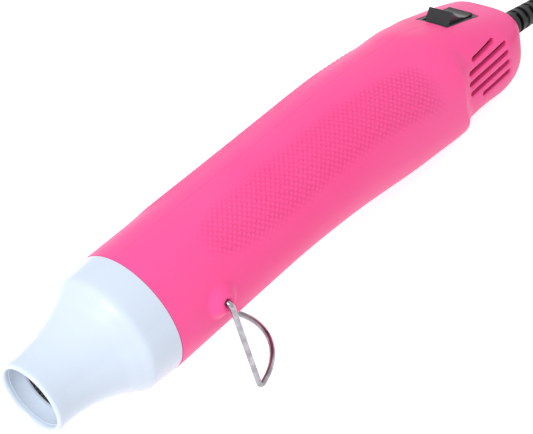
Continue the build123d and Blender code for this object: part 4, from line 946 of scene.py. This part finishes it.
grey_moulding = plain_matter("grey_moulding", (0.16, 0.16, 0.17), (0.22, 0.22, 0.23), 0.5, 60.0)
lead_red = plain_matter("lead_insulation", (0.50, 0.04, 0.03), (0.62, 0.07, 0.05), 0.4, 60.0, 0.05)
diode_black = black_plastic("diode_black", 0.4)
refinish(
    steel, "shell_screws", "motor_screws", "motor_can", "motor_shaft", "armature", "thermal_cutout",
    "clamp_screws"
)
refinish(barrel_steel, "barrel_tube")
refinish(heat_wire, "heating_coil")
refinish(
    brass, "motor_terminals", "motor_brushes", "motor_bush_front", "motor_bush_rear", "switch_terminals",
    "plug_blades"
)
refinish(copper, "armature_windings", "commutator")
refinish(mica, "mica_sleeve", "mica_board_flat", "mica_board_upright")
refinish(ferrite, "motor_magnets")
refinish(green_board, "rectifier_board")
refinish(diode_black, "rectifier_diodes")
refinish(grey_moulding, "motor_carrier", "motor_end_cap", "fan", "cord_clamp")
refinish(lead_red, "inner_leads")


# Floor, light and camera: a white table under plain soft studio light, seen from in front of the
# nozzle, above and to the left.
floor_reach = 30.0
floor_mesh = bpy.data.meshes.new("floor")
floor_mesh.from_pydata(
    [(-floor_reach, -floor_reach, 0.0), (floor_reach, -floor_reach, 0.0), (floor_reach, floor_reach, 0.0),
     (-floor_reach, floor_reach, 0.0)], [], [(0, 1, 2, 3)]
)
floor = bpy.data.objects.new("floor", floor_mesh)
bpy.context.scene.collection.objects.link(floor)


def seen_directly(tree):
    """One for rays from the camera, from a gloss or through clear matter, and zero for the rest."""
    path = tree.nodes.new("ShaderNodeLightPath")
    first = tree.nodes.new("ShaderNodeMath")
    first.operation = "MAXIMUM"
    tree.links.new(path.outputs["Is Camera Ray"], first.inputs[0])
    tree.links.new(path.outputs["Is Glossy Ray"], first.inputs[1])
    second = tree.nodes.new("ShaderNodeMath")
    second.operation = "MAXIMUM"
    tree.links.new(first.outputs["Value"], second.inputs[0])
    tree.links.new(path.outputs["Is Transmission Ray"], second.inputs[1])
    return second.outputs["Value"]


floor_paint = bpy.data.materials.new("floor_paint")
floor_paint.use_nodes = True
floor_tree = floor_paint.node_tree
floor_shader = floor_tree.nodes["Principled BSDF"]
floor_shader.inputs["Base Color"].default_value = (0.8, 0.8, 0.8, 1.0)
floor_shader.inputs["Roughness"].default_value = 0.9
floor_shader.inputs["Specular IOR Level"].default_value = 0.0
floor_shader.inputs["Emission Color"].default_value = (1.0, 1.0, 1.0, 1.0)
glow = floor_tree.nodes.new("ShaderNodeMath")
glow.operation = "MULTIPLY"
glow.inputs[1].default_value = 0.78
floor_tree.links.new(seen_directly(floor_tree), glow.inputs[0])
floor_tree.links.new(glow.outputs["Value"], floor_shader.inputs["Emission Strength"])
floor_mesh.materials.append(floor_paint)

studio = bpy.data.worlds.new("studio")
bpy.context.scene.world = studio
studio.use_nodes = True
world_tree = studio.node_tree
backdrop = world_tree.nodes["Background"]
backdrop.inputs["Color"].default_value = (1.0, 1.0, 1.0, 1.0)
world_light = 0.8
strength = world_tree.nodes.new("ShaderNodeMix")
strength.inputs["A"].default_value = world_light
strength.inputs["B"].default_value = 1.0
world_tree.links.new(seen_directly(world_tree), strength.inputs["Factor"])
world_tree.links.new(strength.outputs["Result"], backdrop.inputs["Strength"])


def lamp(name, place, target, size, power):
    """Square area lamp at its place, turned towards its target."""
    light = bpy.data.lights.new(name, "AREA")
    light.size = size
    light.energy = power
    holder = bpy.data.objects.new(name, light)
    bpy.context.scene.collection.objects.link(holder)
    aim = Vector(target) - Vector(place)
    holder.location = place
    holder.rotation_euler = aim.to_track_quat("-Z", "Y").to_euler()


key_place = (-0.95, -0.10, 0.85)
key_size = 0.45
key_power = 8.5
lamp("key_lamp", key_place, (0.0, 0.0, 0.0), key_size, key_power)

lens = 108.66
sensor = 36.0
eye_place = (-180.94, -337.41, 328.13)
eye = tool_points(*eye_place)
turn_right = np.array([0.64502733, -0.74118666, -0.18596259])
turn_down = np.array([-0.55822565, -0.29084462, -0.77704152])
turn_forward = np.array([0.52184659, 0.60502211, -0.60135214])


def in_row(direction):
    """A direction of the tool frame turned into the row frame."""
    return Vector(direction[0] * along + direction[1] * across + direction[2] * upward)


camera_data = bpy.data.cameras.new("camera")
camera_data.sensor_fit = "HORIZONTAL"
camera_data.sensor_width = sensor
camera_data.lens = lens
camera_data.clip_end = 2 * floor_reach
camera = bpy.data.objects.new("camera", camera_data)
bpy.context.scene.collection.objects.link(camera)
turn = Matrix((in_row(turn_right), in_row(-turn_down), in_row(-turn_forward))).transposed().to_4x4()
camera.matrix_world = Matrix.Translation(Vector(eye)) @ turn
bpy.context.scene.camera = camera
bpy.context.scene.view_settings.view_transform = "Standard"
